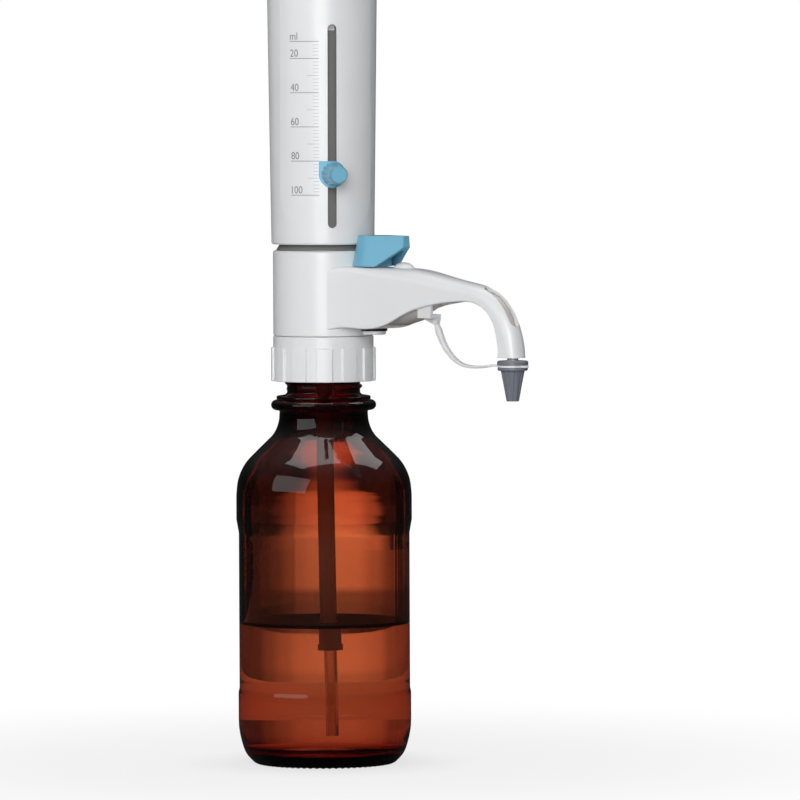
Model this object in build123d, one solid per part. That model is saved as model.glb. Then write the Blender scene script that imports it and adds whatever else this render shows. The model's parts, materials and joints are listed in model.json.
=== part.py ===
from build123d import *
import os
from math import asin, atan, cos, degrees, pi, radians, sin, sqrt, tan

os.makedirs("parts", exist_ok=True)

# Millimetres. Z is up, the bottle stands on Z = 0 with its axis on the origin, and the arm points along +X.
# Names ending in _Z are heights above the bench. Places in the arm are given in pairs or in lists:
# x is measured from the side of the round block and z from the flow line.

# Bottle, one litre, with a 45 mm screw neck
BOTTLE_R = 50.2
SHOULDER_SWELL = 0.8
LABEL_INSET = 0.6
GLASS_WALL = 3.2
HEEL_INSET = 10.7
HEEL_RATIOS = ((0.645, 0.258), (0.86, 0.523))
HEEL_Z = 26.0
CONTACT_WIDTH = 3.0
PUSH_UP = 3.5
BASE_GLASS = 7.5
FLOOR_INSET = 2.5
FLOOR_RATIOS = ((0.2, 0.622),)
LABEL_LOW_Z = 42.0
LABEL_HEIGHT = 92.0
LABEL_STEP = 4.0
SHOULDER_BAND = 19.0
SHOULDER_HEIGHT = 50.0
SHOULDER_RATIOS = ((0.035, 0.22), (0.244, 0.45), (0.713, 0.692), (0.921, 0.816))
INNER_SHOULDER_RATIOS = ((0.071, 0.123), (0.237, 0.25), (0.637, 0.5), (0.92, 0.74))
NECK_FOOT_R = 25.6
NECK_ROOT_R = 21.2
NECK_BORE_R = 15.3
NECK_BORE_LONG = 38.0
NECK_LONG = 34.7
POURING_RING_R = 30.5
POURING_RING_UNDER = 3.5
POURING_RING_OVER = 2.9
POURING_RING_RISE = 5.3
SECOND_RING_R = 27.3
SECOND_RING_RISE = 5.7
GLASS_ROUND = 0.8

# Screw collar
GRIP_RISE = 1.2
GRIPS = 12
GRIP_ARC = 19.0
GRIP_HEIGHT = 19.6
COLLAR_SKIRT = 20.7
COLLAR_RISE = 0.1
THREAD_CLEAR = 1.7
COLLAR_ROOF = 1.7

# Valve block
SEAL_THICK = 2.0
SEAL_INSET = 0.2
FLANGE_RISE = 0.3
FLANGE_THICK = 1.4
SWIVEL_R = 17.3
SWIVEL_GAP = 0.3
BLOCK_HEIGHT = 49.2
FLOW_HEIGHT = 17.6
CORE_SINK = 6.9
CORE_RIM = 1.4
FIT = 0.05
CHANNEL_R = 2.0

# Measuring cylinder, piston and sleeve: 100 ml from a 36 mm bore
BORE_R = 18.0
CYLINDER_WALL = 2.2
CYLINDER_SPARE = 5.0
VOLUME_ML = 100.0
SET_ML = 80.0
CYLINDER_SEAL = 1.3
PISTON_LONG = 15.5
PISTON_REST_GAP = 0.8
PISTON_RUNNING = 0.03
PISTON_GROOVE = 2.5
PISTON_LAND = 3.0
ROD_R = 5.5
ROD_SCREW = 8.0
GUARD_FOOT_GAP = 0.8
GUARD_FOOT_WALL = 3.0
GUARD_STEP = 1.0
GUARD_WALL = 2.4
GUARD_LIP = 2.0
LIP_HEIGHT = 3.7
SLEEVE_GAP = 3.7
SLEEVE_ROOM = 2.65
SLEEVE_OVERHANG = 0.85
SLEEVE_SLOPE = 0.0134
SLEEVE_WALL = 2.2
SLEEVE_ROUND = 0.8
HEAD_ROOM = 36.1
CAP_DOME = 10.0
CAP_RIM = 3.0
CAP_ROUND = 5.5
CAP_SPIGOT = 6.0
CAP_SPIGOT_WALL = 2.0
ROD_BOSS = 3.0

# Volume slot, pointer and knob
SLOT_ANGLE = -36.7
SLOT_WIDTH = 5.3
SLOT_MARGIN = 9.7
SLOT_SPARE = 18.956
PANEL_ANGLE = -42.0
PANEL_DEPTH = 0.4
PANEL_HALF_ANGLE = 61.0
PANEL_ROUND = 23.0
PANEL_MARGIN = 4.0
POINTER_R = 7.7
POINTER_THICK = 1.8
POINTER_GAP = 0.12
KNOB_BASE_R = 6.7
KNOB_FACE_R = 5.1
KNOB_LONG = 19.5
KNOB_NOSE = 2.5
KNOB_NOSE_ROUND = 0.9
KNOB_FLUTES = 14
KNOB_FLUTE_R = 0.95
KNOB_SEAT_GAP = 0.1
STUD_R = 2.0
STUD_LONG = 11.0
SHOE_WIDTH = 9.0
SHOE_HEIGHT = 8.2
SHOE_THICK = 1.15
STOP_REACH = 1.4
STOP_WIDTH = 4.6
STOP_HOLE_R = 11.0
STOP_SKIRT = 6.0
STOP_DISC = 3.0

# Arm, given as stations of the under edge, the top, the half width and the rounding of the top corners
ARM_STATIONS = (
    ((-17.0, -12.8), (-17.0, 22.6), 22.6, 3.0),
    ((-4.0, -12.8), (-4.0, 22.6), 18.3, 3.0),
    ((12.0, -12.8), (12.0, 22.6), 14.3, 3.6),
    ((28.5, -10.8), (29.5, 22.3), 12.5, 6.0),
    ((45.0, -3.1), (48.0, 21.6), 11.0, 7.2),
    ((64.0, 2.0), (67.5, 18.3), 9.1, 7.2),
    ((82.0, 4.0), (85.0, 15.1), 7.8, 6.8),
    ((93.0, 3.4), (97.5, 12.5), 7.3, 6.5),
    ((101.5, -0.7), (107.8, 7.1), 7.1, 6.4),
    ((107.0, -7.4), (116.0, -2.1), 7.0, 6.4),
    ((110.0, -16.8), (121.6, -15.0), 7.0, 6.4),
    ((110.4, -27.3), (123.5, -27.3), 7.0, 6.4),
)
ARM_UNDER_ROUND = 1.0
THUMB_PAD = (34.0, 21.3)
THUMB_PAD_SIZE = (7.0, 5.0, 4.3)
CAP_OUT = 116.6
TUBE_R = 3.25
TUBE_BORE_R = 2.2
TUBE_CLEAR = 0.3
TUBE_ROUTE = (
    (49.0, 0.0),
    (54.2, 0.0),
    (66.0, 8.7),
    (92.0, 9.2),
    (105.6, 4.5),
    (113.4, -5.7),
    (CAP_OUT, -17.8),
    (CAP_OUT, -40.3),
)
TUBE_BENDS = (11.0, 25.0, 34.0, 18.5, 27.0, 40.0)
WINDOW_WIDTH = 7.4
WINDOW_DEEP = 15.0
WINDOW_FROM = (98.0, 8.7)
WINDOW_TO = (116.0, -8.3)

# Outlet valve in the open underside of the arm
NUT_R = 10.8
NUT_OUT = 20.0
NUT_LONG = 9.5
NUT_HOLE_R = 5.0
VALVE_SHOULDER_LONG = 8.0
VALVE_SHOULDER_R = 10.3
VALVE_NOSE_LONG = 20.9
VALVE_NOSE_R = 6.0
VALVE_NOSE_TAPER = 1.4
VALVE_GAP = 0.3
OUTLET_BALL_R = 2.5
OUTLET_BALL_OUT = 35.0
OUTLET_BALL_CLEAR = 0.4
OUTLET_CHAMBER_END = 4.0
SPRING_WIRE_R = 0.35
SPRING_COIL_R = 2.15
SPRING_TURNS = 4

# Recirculation tap and vent
LEVER_OUT = 12.2
LEVER_SINK = 8.6
LEVER_HEIGHT = 17.7
LEVER_HUB_LOW_R = 13.4
LEVER_HUB_TOP_R = 10.0
LEVER_REACH = 23.8
LEVER_TIP_HALF = 2.2
LEVER_TIP_DEEP = 6.0
LEVER_SLOPE_FROM = 8.6
LEVER_WALL = 1.8
HUB_POCKET = 0.45
PLUG_R = 5.5
PLUG_BELOW_FLOW = 8.3
PLUG_SQUARE = 7.0
PLUG_SQUARE_LONG = 11.0
VENT_OUT = 11.0
VENT_WASHER_R = 7.5
VENT_CAP_R = 6.7
VENT_SINK = 6.3
VENT_WASHER_THICK = 3.0
VENT_CAP_THICK = 2.1
LUER_R = 2.2
LUER_LONG = 2.0

# Nozzle cap and its tether
CAP_DROP = 28.9
CAP_LONG = 23.0
CAP_FLANGE_R = 8.85
CAP_FLANGE_THICK = 2.5
CAP_COLLAR_R = 8.6
CAP_COLLAR_THICK = 1.8
CAP_BODY_R = 6.8
CAP_TIP_R = 3.95
CAP_FLUTES = 10
CAP_FLUTE_R = 1.0
CAP_BORE_DEPTH = 12.0
RING_THICK = 1.2
RING_WIDE = 1.5
RING_GAP = 0.1
STRAP_THICK = 2.0
STRAP_WIDE = 3.4
CLIP_LEG = 2.0
CLIP_PLATE = 3.0
CLIP_OUT = 51.0
CLIP_LONG = 10.0
CLIP_BAR_BELOW_FLOW = 5.9
CLIP_BAR_THICK = 2.2
CLIP_HEIGHT = 8.6
POCKET_HALF = 7.5
POCKET_END = (68.0, 4.2)
POCKET_END_HALF = 6.3
STRAP_ROUTE = (
    (59.3, -9.5),
    (63.0, -17.7),
    (70.6, -28.1),
    (78.4, -32.7),
    (88.6, -33.4),
    (100.0, -32.3),
)
STRAP_BENDS = (30.0, 18.0, 18.0, 26.0)

# Inlet valve and the tubes in the bottle, which lean a little to one side
VALVE_BODY_R = 7.9
VALVE_BODY_BELOW_MOUTH = 33.0
VALVE_CONE_BELOW_MOUTH = 11.0
VALVE_BODY_ABOVE_MOUTH = 19.0
VALVE_BORE_R = 2.5
BARB_R = 3.45
BARB_SHOULDER_R = 6.25
BALL_R = 3.2
BALL_CLEAR = 0.8
BALL_CHAMBER = 8.0
BALL_SEAT_BELOW_MOUTH = 3.0
SEAT_THICK = 3.0
FILLING_TUBE_R = 4.9
FILLING_TUBE_WALL = 1.4
FILLING_TUBE_LOW_Z = 70.0
FILLING_TUBE_BELOW_MOUTH = 17.5
TUBE_END_R = 5.5
TUBE_END_LONG = 3.5
TELESCOPE_R = 2.85
TELESCOPE_WALL = 0.9
TELESCOPE_LOW_Z = 18.0
TELESCOPE_LONG = 105.0
TUBE_SEAT_GAP = 0.12
TUBE_LEAN = 0.9
TUBE_LEAN_ANGLE = 42.0
RETURN_OUT = 11.4
RETURN_R = 3.0
RETURN_WALL = 1.0
RETURN_BELOW_MOUTH = 57.0
RETURN_BELOW_FLOW = 10.3
RETURN_CHANNEL_RISE = 4.0

# The bottle's heights and radii that follow from the sizes above
SHOULDER_R = BOTTLE_R + SHOULDER_SWELL
CONTACT_R = BOTTLE_R - HEEL_INSET
LABEL_HIGH_Z = LABEL_LOW_Z + LABEL_HEIGHT
SHOULDER_Z = LABEL_HIGH_Z + SHOULDER_BAND
NECK_FOOT_Z = SHOULDER_Z + SHOULDER_HEIGHT
POURING_RING_Z = NECK_FOOT_Z + POURING_RING_RISE
MOUTH_Z = POURING_RING_Z + NECK_LONG

# The pump's radii, from the bore out to the block
CYLINDER_R = BORE_R + CYLINDER_WALL
CORE_R = CYLINDER_R + CORE_RIM
GUARD_FOOT_R = CYLINDER_R + GUARD_FOOT_GAP + GUARD_FOOT_WALL
GUARD_R = GUARD_FOOT_R + GUARD_STEP
GUARD_LIP_R = GUARD_R + GUARD_LIP
DISC_R = GUARD_R - GUARD_WALL
STOP_R = GUARD_R + STOP_REACH
SLEEVE_LOW_R = GUARD_R + SLEEVE_ROOM + SLEEVE_WALL
BLOCK_R = SLEEVE_LOW_R - SLEEVE_OVERHANG
COLLAR_R = BLOCK_R + COLLAR_RISE
GRIP_R = COLLAR_R + GRIP_RISE
THREAD_CLEAR_R = NECK_ROOT_R + THREAD_CLEAR
SEAL_R = NECK_ROOT_R - SEAL_INSET
FLANGE_R = NECK_ROOT_R + FLANGE_RISE

# Heights, from the mouth of the bottle up to the sleeve's top
COLLAR_LOW_Z = MOUTH_Z - COLLAR_SKIRT
GRIP_TOP_Z = COLLAR_LOW_Z + GRIP_HEIGHT
SEAL_TOP_Z = MOUTH_Z + SEAL_THICK
FLANGE_TOP_Z = SEAL_TOP_Z + FLANGE_THICK
ROOF_LOW_Z = FLANGE_TOP_Z + SWIVEL_GAP
COLLAR_TOP_Z = ROOF_LOW_Z + COLLAR_ROOF
BLOCK_LOW_Z = COLLAR_TOP_Z + SWIVEL_GAP
BLOCK_TOP_Z = BLOCK_LOW_Z + BLOCK_HEIGHT
FLOW_Z = BLOCK_LOW_Z + FLOW_HEIGHT
CORE_TOP_Z = BLOCK_TOP_Z - CORE_SINK
STROKE = VOLUME_ML * 1000.0 / (pi * BORE_R**2)
ML = STROKE / VOLUME_ML
CYLINDER_LOW_Z = CORE_TOP_Z + CYLINDER_SEAL
PISTON_LOW_Z = CYLINDER_LOW_Z + PISTON_REST_GAP
PISTON_TOP_Z = PISTON_LOW_Z + PISTON_LONG
CYLINDER_TOP_Z = PISTON_TOP_Z + STROKE + CYLINDER_SPARE
SLEEVE_LOW_Z = BLOCK_TOP_Z + SLEEVE_GAP
SLOT_LOW_Z = SLEEVE_LOW_Z + SLOT_MARGIN
ZERO_Z = SLOT_LOW_Z + STROKE + SLOT_SPARE
MARK_Z = ZERO_Z - SET_ML * ML
POINTER_Z = MARK_Z - POINTER_R
STOP_LOW_Z = POINTER_Z + SHOE_HEIGHT / 2 + SET_ML * ML
GUARD_TOP_Z = STOP_LOW_Z + STOP_SKIRT
STOP_TOP_Z = GUARD_TOP_Z + STOP_DISC
SLEEVE_TOP_Z = STOP_TOP_Z + HEAD_ROOM

# Places of the pieces in the arm, the bottle's neck and the core
LEVER_X = BLOCK_R + LEVER_OUT
LEVER_LOW_Z = BLOCK_TOP_Z - LEVER_SINK
LEVER_TOP_Z = LEVER_LOW_Z + LEVER_HEIGHT
PLUG_LOW_Z = FLOW_Z - PLUG_BELOW_FLOW
VENT_X = BLOCK_R + VENT_OUT
VENT_TOP_Z = BLOCK_LOW_Z + VENT_SINK
NUT_FROM_X = BLOCK_R + NUT_OUT
NUT_TO_X = NUT_FROM_X + NUT_LONG
VALVE_SHOULDER_X = NUT_TO_X + VALVE_SHOULDER_LONG
VALVE_NOSE_X = NUT_TO_X + VALVE_NOSE_LONG
OUTLET_BALL_X = BLOCK_R + OUTLET_BALL_OUT
CAP_X = BLOCK_R + CAP_OUT
CAP_TOP_Z = FLOW_Z - CAP_DROP
CLIP_LOW_X = BLOCK_R + CLIP_OUT
CLIP_HIGH_X = CLIP_LOW_X + CLIP_LONG
CLIP_BAR_Z = FLOW_Z - CLIP_BAR_BELOW_FLOW
CLIP_TOP_Z = CLIP_BAR_Z + CLIP_HEIGHT
VALVE_LOW_Z = MOUTH_Z - VALVE_BODY_BELOW_MOUTH
VALVE_CONE_Z = MOUTH_Z - VALVE_CONE_BELOW_MOUTH
VALVE_TOP_Z = MOUTH_Z + VALVE_BODY_ABOVE_MOUTH
BALL_SEAT_Z = MOUTH_Z - BALL_SEAT_BELOW_MOUTH
BALL_CHAMBER_R = BALL_R + BALL_CLEAR
FILLING_TUBE_TOP_Z = MOUTH_Z - FILLING_TUBE_BELOW_MOUTH
RETURN_LOW_Z = MOUTH_Z - RETURN_BELOW_MOUTH
RETURN_HIGH_Z = FLOW_Z - RETURN_BELOW_FLOW
RETURN_CHANNEL_Z = RETURN_HIGH_Z + RETURN_CHANNEL_RISE


def sleeve_outside(z):
    return SLEEVE_LOW_R + SLEEVE_SLOPE * (z - SLEEVE_LOW_Z)


def turned(corners):
    """A solid turned about Z from (radius, height) corners."""
    outline = Polyline(*[(r, 0, z) for r, z in corners], close=True)
    return revolve(make_face(outline), Axis.Z)


def ring(outer, inner, low, high):
    return turned([(inner, low), (outer, low), (outer, high), (inner, high)])


def rod(radius, low, high):
    return Pos(0, 0, low) * Cylinder(radius, high - low, align=(Align.CENTER, Align.CENTER, Align.MIN))


def turned_along_x(corners):
    """A solid turned about the flow line of the arm, from (x, radius) corners."""
    outline = Polyline(*[(x, 0, r) for x, r in corners], close=True)
    return Pos(0, 0, FLOW_Z) * revolve(make_face(outline), Axis.X)


def rod_along_x(radius, start, end):
    return turned_along_x([(start, 0), (end, 0), (end, radius), (start, radius)])


def outward(angle, radius, z):
    """A plane on the sleeve's side: x runs round it, y up, and z outwards."""
    a = radians(angle)
    return Plane(
        origin=(radius * cos(a), radius * sin(a), z),
        x_dir=(-sin(a), cos(a), 0),
        z_dir=(cos(a), sin(a), 0),
    )


def in_xz(points):
    return [(x, 0, z) for x, z in points]


def in_arm(places):
    """Places in the arm, given from the block's side and the flow line, as points."""
    return [(BLOCK_R + x, 0, FLOW_Z + z) for x, z in places]


def shares_between(start, end, ratios):
    """Points between two corners, each by its share of the way across and of the way up or down."""
    (r, z), (next_r, next_z) = start, end
    return in_xz([(r + across * (next_r - r), z + along_z * (next_z - z)) for across, along_z in ratios])


def bottle():
    contact, heel = (CONTACT_R, 0), (BOTTLE_R, HEEL_Z)
    shoulder, neck_foot = (SHOULDER_R, SHOULDER_Z), (NECK_FOOT_R, NECK_FOOT_Z)
    bore_foot = (NECK_BORE_R, MOUTH_Z - NECK_BORE_LONG)
    inner_shoulder = (SHOULDER_R - GLASS_WALL, SHOULDER_Z)
    inner_heel = (BOTTLE_R - GLASS_WALL, HEEL_Z)
    floor_edge, floor_top = (CONTACT_R - FLOOR_INSET, BASE_GLASS), (0, PUSH_UP + BASE_GLASS)
    push_edge = (CONTACT_R - CONTACT_WIDTH, 0)
    ring_low = (NECK_FOOT_R, POURING_RING_Z - POURING_RING_UNDER)
    ring_top = (NECK_FOOT_R + POURING_RING_R / 100, POURING_RING_Z + POURING_RING_OVER)
    neck_low = POURING_RING_Z + SECOND_RING_RISE
    up, down = (0, 0, 1), (0, 0, -1)
    outline = [
        ThreePointArc(*in_xz([(0, PUSH_UP), (0.5 * CONTACT_R, 0.8 * PUSH_UP), push_edge])),
        Line(*in_xz([push_edge, contact])),
        Spline(*in_xz([contact]), *shares_between(contact, heel, HEEL_RATIOS), *in_xz([heel]),
               tangents=((1, 0, 0.35), up)),
        Polyline(*in_xz([
            heel, (BOTTLE_R, LABEL_LOW_Z),
            (BOTTLE_R - LABEL_INSET, LABEL_LOW_Z + LABEL_STEP / 2), (BOTTLE_R - LABEL_INSET, LABEL_HIGH_Z),
            (SHOULDER_R, LABEL_HIGH_Z + 2 * LABEL_STEP), shoulder,
        ])),
        Spline(*in_xz([shoulder]), *shares_between(shoulder, neck_foot, SHOULDER_RATIOS), *in_xz([neck_foot]),
               tangents=(up, up)),
        Line(*in_xz([neck_foot, ring_low])),
        ThreePointArc(*in_xz([ring_low, (POURING_RING_R, POURING_RING_Z), ring_top])),
        Polyline(*in_xz([
            ring_top, (SECOND_RING_R, neck_low - 3 * GLASS_ROUND), (SECOND_RING_R, neck_low - GLASS_ROUND),
            (NECK_ROOT_R + GLASS_ROUND, neck_low), (NECK_ROOT_R, neck_low + GLASS_ROUND),
            (NECK_ROOT_R, MOUTH_Z - GLASS_ROUND), (NECK_ROOT_R - GLASS_ROUND, MOUTH_Z),
            (NECK_BORE_R + GLASS_ROUND, MOUTH_Z), (NECK_BORE_R, MOUTH_Z - GLASS_ROUND), bore_foot,
        ])),
        Spline(*in_xz([bore_foot]), *shares_between(bore_foot, inner_shoulder, INNER_SHOULDER_RATIOS),
               *in_xz([inner_shoulder]), tangents=(down, down)),
        Line(*in_xz([inner_shoulder, inner_heel])),
        Spline(*in_xz([inner_heel]), *shares_between(inner_heel, floor_edge, FLOOR_RATIOS),
               *in_xz([floor_edge, floor_top]), tangents=(down, (-1, 0, 0))),
        Line(*in_xz([floor_top, (0, PUSH_UP)])),
    ]
    return revolve(make_face(outline), Axis.Z)


def collar_nut():
    base = turned([
        (THREAD_CLEAR_R, COLLAR_LOW_Z), (COLLAR_R - 0.3, COLLAR_LOW_Z), (COLLAR_R, COLLAR_LOW_Z + 0.5),
        (COLLAR_R, COLLAR_TOP_Z - 0.4), (COLLAR_R - 0.4, COLLAR_TOP_Z),
        (SWIVEL_R + SWIVEL_GAP, COLLAR_TOP_Z), (SWIVEL_R + SWIVEL_GAP, ROOF_LOW_Z), (THREAD_CLEAR_R, ROOF_LOW_Z),
    ])
    side = FilletPolyline(
        (THREAD_CLEAR_R + 3, 0, COLLAR_LOW_Z), (GRIP_R, 0, COLLAR_LOW_Z),
        (GRIP_R, 0, GRIP_TOP_Z), (THREAD_CLEAR_R + 3, 0, GRIP_TOP_Z),
        radius=(0, 0.5, 1.1, 0), close=True,
    )
    grip = revolve(make_face(side), Axis.Z, revolution_arc=GRIP_ARC)
    outer_corners = grip.edges().filter_by(Axis.Z).sort_by_distance((0, 0, COLLAR_LOW_Z))[-2:]
    grip = fillet(outer_corners, 0.7)
    grips = [Rot(0, 0, n * 360 / GRIPS + 4) * grip for n in range(GRIPS)]
    return base + grips


def valve_block():
    body = turned([
        (0, SEAL_TOP_Z), (FLANGE_R, SEAL_TOP_Z), (FLANGE_R, FLANGE_TOP_Z), (SWIVEL_R, FLANGE_TOP_Z),
        (SWIVEL_R, BLOCK_LOW_Z + 1.5), (CORE_R, BLOCK_LOW_Z + 1.5), (CORE_R, CORE_TOP_Z), (0, CORE_TOP_Z),
    ])
    body -= rod(VALVE_BODY_R + FIT, SEAL_TOP_Z - 1, VALVE_TOP_Z)
    body -= rod(BALL_R, VALVE_TOP_Z - 1, CORE_TOP_Z + 1)
    body -= rod_along_x(CHANNEL_R, 0, CORE_R + 1)
    body -= Pos(RETURN_OUT, 0, 0) * rod(RETURN_R + FIT, SEAL_TOP_Z - 1, RETURN_HIGH_Z)
    body -= Pos(RETURN_OUT, 0, 0) * rod(CHANNEL_R, RETURN_HIGH_Z - 1, RETURN_CHANNEL_Z)
    body -= Pos(RETURN_OUT, 0, RETURN_CHANNEL_Z - FLOW_Z) * rod_along_x(CHANNEL_R - 0.5, 0, CORE_R)
    return body


def arm_station(under, top, half_width, crown):
    under, top = [Vector(*point) for point in in_arm([under, top])]
    up = top - under
    half = up.length / 2
    plane = Plane(origin=(under + top) / 2, x_dir=(0, 1, 0), z_dir=Vector(0, 1, 0).cross(up.normalized()))
    outline = FilletPolyline(
        (-half_width, -half), (half_width, -half), (half_width, half), (-half_width, half),
        radius=(ARM_UNDER_ROUND, ARM_UNDER_ROUND, crown, crown), close=True,
    )
    return plane * make_face(outline)


def tube_path(places, bends):
    return FilletPolyline(*in_arm(places), radius=bends)


def along(path, face):
    """A section swept along a path in the XZ plane."""
    plane = Plane(origin=path @ 0, x_dir=(0, 1, 0), z_dir=path % 0)
    return sweep(plane * face, path=path)


def tube_window():
    """Opens the outer side of the gooseneck over the discharge tube, with rounded ends."""
    start, end = [Vector(*point) for point in in_arm([WINDOW_FROM, WINDOW_TO])]
    run = end - start
    out = Vector(0, 1, 0).cross(run.normalized()) * -1
    plane = Plane(origin=(start + end) / 2, x_dir=run.normalized(), z_dir=out)
    slot = SlotOverall(run.length + WINDOW_WIDTH, WINDOW_WIDTH)
    return extrude(plane * slot, amount=WINDOW_DEEP)


def housing():
    block = turned([
        (0, BLOCK_LOW_Z), (BLOCK_R - 0.5, BLOCK_LOW_Z), (BLOCK_R, BLOCK_LOW_Z + 0.5),
        (BLOCK_R, BLOCK_TOP_Z - 0.8), (BLOCK_R - 0.8, BLOCK_TOP_Z), (0, BLOCK_TOP_Z),
    ])
    arm = loft([arm_station(*s) for s in ARM_STATIONS])
    pad = Pos(*in_arm([THUMB_PAD])[0]) * scale(Sphere(1), by=THUMB_PAD_SIZE)
    shell = block + arm + pad
    bore = SWIVEL_R + SWIVEL_GAP
    shell -= rod(bore, BLOCK_LOW_Z - 1, BLOCK_LOW_Z + 2)
    shell -= rod(CORE_R + FIT, BLOCK_LOW_Z + 1.5, CORE_TOP_Z + 1)
    shell -= rod(GUARD_FOOT_R + FIT, CORE_TOP_Z, BLOCK_TOP_Z + 1)
    shell -= rod_along_x(CHANNEL_R, CORE_R, NUT_FROM_X + 1)
    shell -= Pos(0, 0, RETURN_CHANNEL_Z - FLOW_Z) * rod_along_x(CHANNEL_R - 0.5, CORE_R - 1, LEVER_X)
    slack = (LEVER_HUB_LOW_R - LEVER_HUB_TOP_R) / (LEVER_TOP_Z - LEVER_LOW_Z)
    hub_low, hub_top, hub_r = LEVER_LOW_Z - VALVE_GAP, BLOCK_TOP_Z + 1, LEVER_HUB_LOW_R + HUB_POCKET
    hub = turned([
        (0, hub_low), (hub_r, hub_low), (hub_r, LEVER_LOW_Z), (hub_r - slack * (hub_top - LEVER_LOW_Z), hub_top),
        (0, hub_top),
    ])
    shell -= Pos(LEVER_X, 0, 0) * hub
    shell -= Pos(LEVER_X, 0, 0) * rod(PLUG_R + FIT, PLUG_LOW_Z, BLOCK_TOP_Z)
    shell -= Pos(VENT_X, 0, 0) * rod(VENT_WASHER_R + FIT, BLOCK_LOW_Z, VENT_TOP_Z)
    shell -= Pos(VENT_X, 0, 0) * rod(LUER_R + FIT, VENT_TOP_Z - 1, VENT_TOP_Z + LUER_LONG + VALVE_GAP)
    nut_space = NUT_R + VALVE_GAP
    shoulder = (VALVE_SHOULDER_X, VALVE_SHOULDER_R + VALVE_GAP)
    nose = (VALVE_NOSE_X, POCKET_HALF)
    pocket_end = CLIP_HIGH_X + VALVE_GAP
    shell -= turned_along_x([
        (NUT_FROM_X, 0), (NUT_FROM_X, nut_space), (NUT_TO_X, nut_space), shoulder, nose, (nose[0], 0),
    ])
    under = Polyline(
        (NUT_FROM_X, nut_space), (NUT_TO_X, nut_space), shoulder, nose, (nose[0], -nose[1]),
        (shoulder[0], -shoulder[1]), (NUT_TO_X, -nut_space), (NUT_FROM_X, -nut_space), close=True,
    )
    shell -= Pos(0, 0, BLOCK_LOW_Z) * extrude(make_face(under), amount=FLOW_Z - BLOCK_LOW_Z)
    shell -= Pos(nose[0], 0, BLOCK_LOW_Z) * Box(
        pocket_end - nose[0], 2 * POCKET_HALF, CLIP_TOP_Z + VALVE_GAP - BLOCK_LOW_Z,
        align=(Align.MIN, Align.CENTER, Align.MIN))
    last_x, _, last_z = in_arm([POCKET_END])[0]
    shell -= Pos(nose[0], 0, BLOCK_LOW_Z) * Box(
        last_x - nose[0], 2 * POCKET_END_HALF, last_z - BLOCK_LOW_Z, align=(Align.MIN, Align.CENTER, Align.MIN))
    path = tube_path(TUBE_ROUTE, TUBE_BENDS)
    shell -= along(path, Circle(TUBE_R + TUBE_CLEAR))
    shell -= tube_window()
    return shell


def guard_tube():
    inner = GUARD_FOOT_R - GUARD_FOOT_WALL
    return turned([
        (inner, CYLINDER_LOW_Z), (GUARD_FOOT_R, CYLINDER_LOW_Z),
        (GUARD_FOOT_R, BLOCK_TOP_Z), (GUARD_LIP_R, BLOCK_TOP_Z),
        (GUARD_LIP_R, BLOCK_TOP_Z + 0.6), (GUARD_R, BLOCK_TOP_Z + LIP_HEIGHT), (GUARD_R, GUARD_TOP_Z),
        (DISC_R, GUARD_TOP_Z), (DISC_R, BLOCK_TOP_Z + LIP_HEIGHT), (inner, BLOCK_TOP_Z),
    ])


def volume_stop():
    disc = ring(GUARD_R, STOP_HOLE_R, GUARD_TOP_Z, STOP_TOP_Z)
    skirt = ring(STOP_R, GUARD_R + FIT, STOP_LOW_Z, GUARD_TOP_Z) + ring(STOP_R, GUARD_R - 1, GUARD_TOP_Z, STOP_TOP_Z)
    tab = Box(2 * GUARD_R, STOP_WIDTH, STOP_TOP_Z - STOP_LOW_Z, align=(Align.MIN, Align.CENTER, Align.MIN))
    return disc + (skirt & Rot(0, 0, SLOT_ANGLE) * Pos(0, 0, STOP_LOW_Z) * tab)


def piston_head():
    groove_r, land_r = BORE_R - PISTON_GROOVE, BORE_R - 0.4
    low, top = PISTON_LOW_Z, PISTON_TOP_Z
    body = turned([
        (0, low), (land_r - 0.4, low), (land_r, low + 0.4), (land_r, low + PISTON_LAND),
        (groove_r, low + PISTON_LAND), (groove_r, low + 2 * PISTON_LAND), (land_r, low + 2 * PISTON_LAND),
        (land_r, top), (0, top),
    ])
    return body - rod(ROD_R / 2 + FIT, top - ROD_SCREW, top + 1)


def piston_seal():
    low = PISTON_LOW_Z + PISTON_LAND
    return ring(BORE_R - PISTON_RUNNING, BORE_R - PISTON_GROOVE, low, low + PISTON_LAND)


def piston_rod():
    return turned([
        (0, PISTON_TOP_Z - ROD_SCREW), (ROD_R / 2, PISTON_TOP_Z - ROD_SCREW), (ROD_R / 2, PISTON_TOP_Z),
        (ROD_R, PISTON_TOP_Z), (ROD_R, SLEEVE_TOP_Z), (0, SLEEVE_TOP_Z),
    ])


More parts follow.
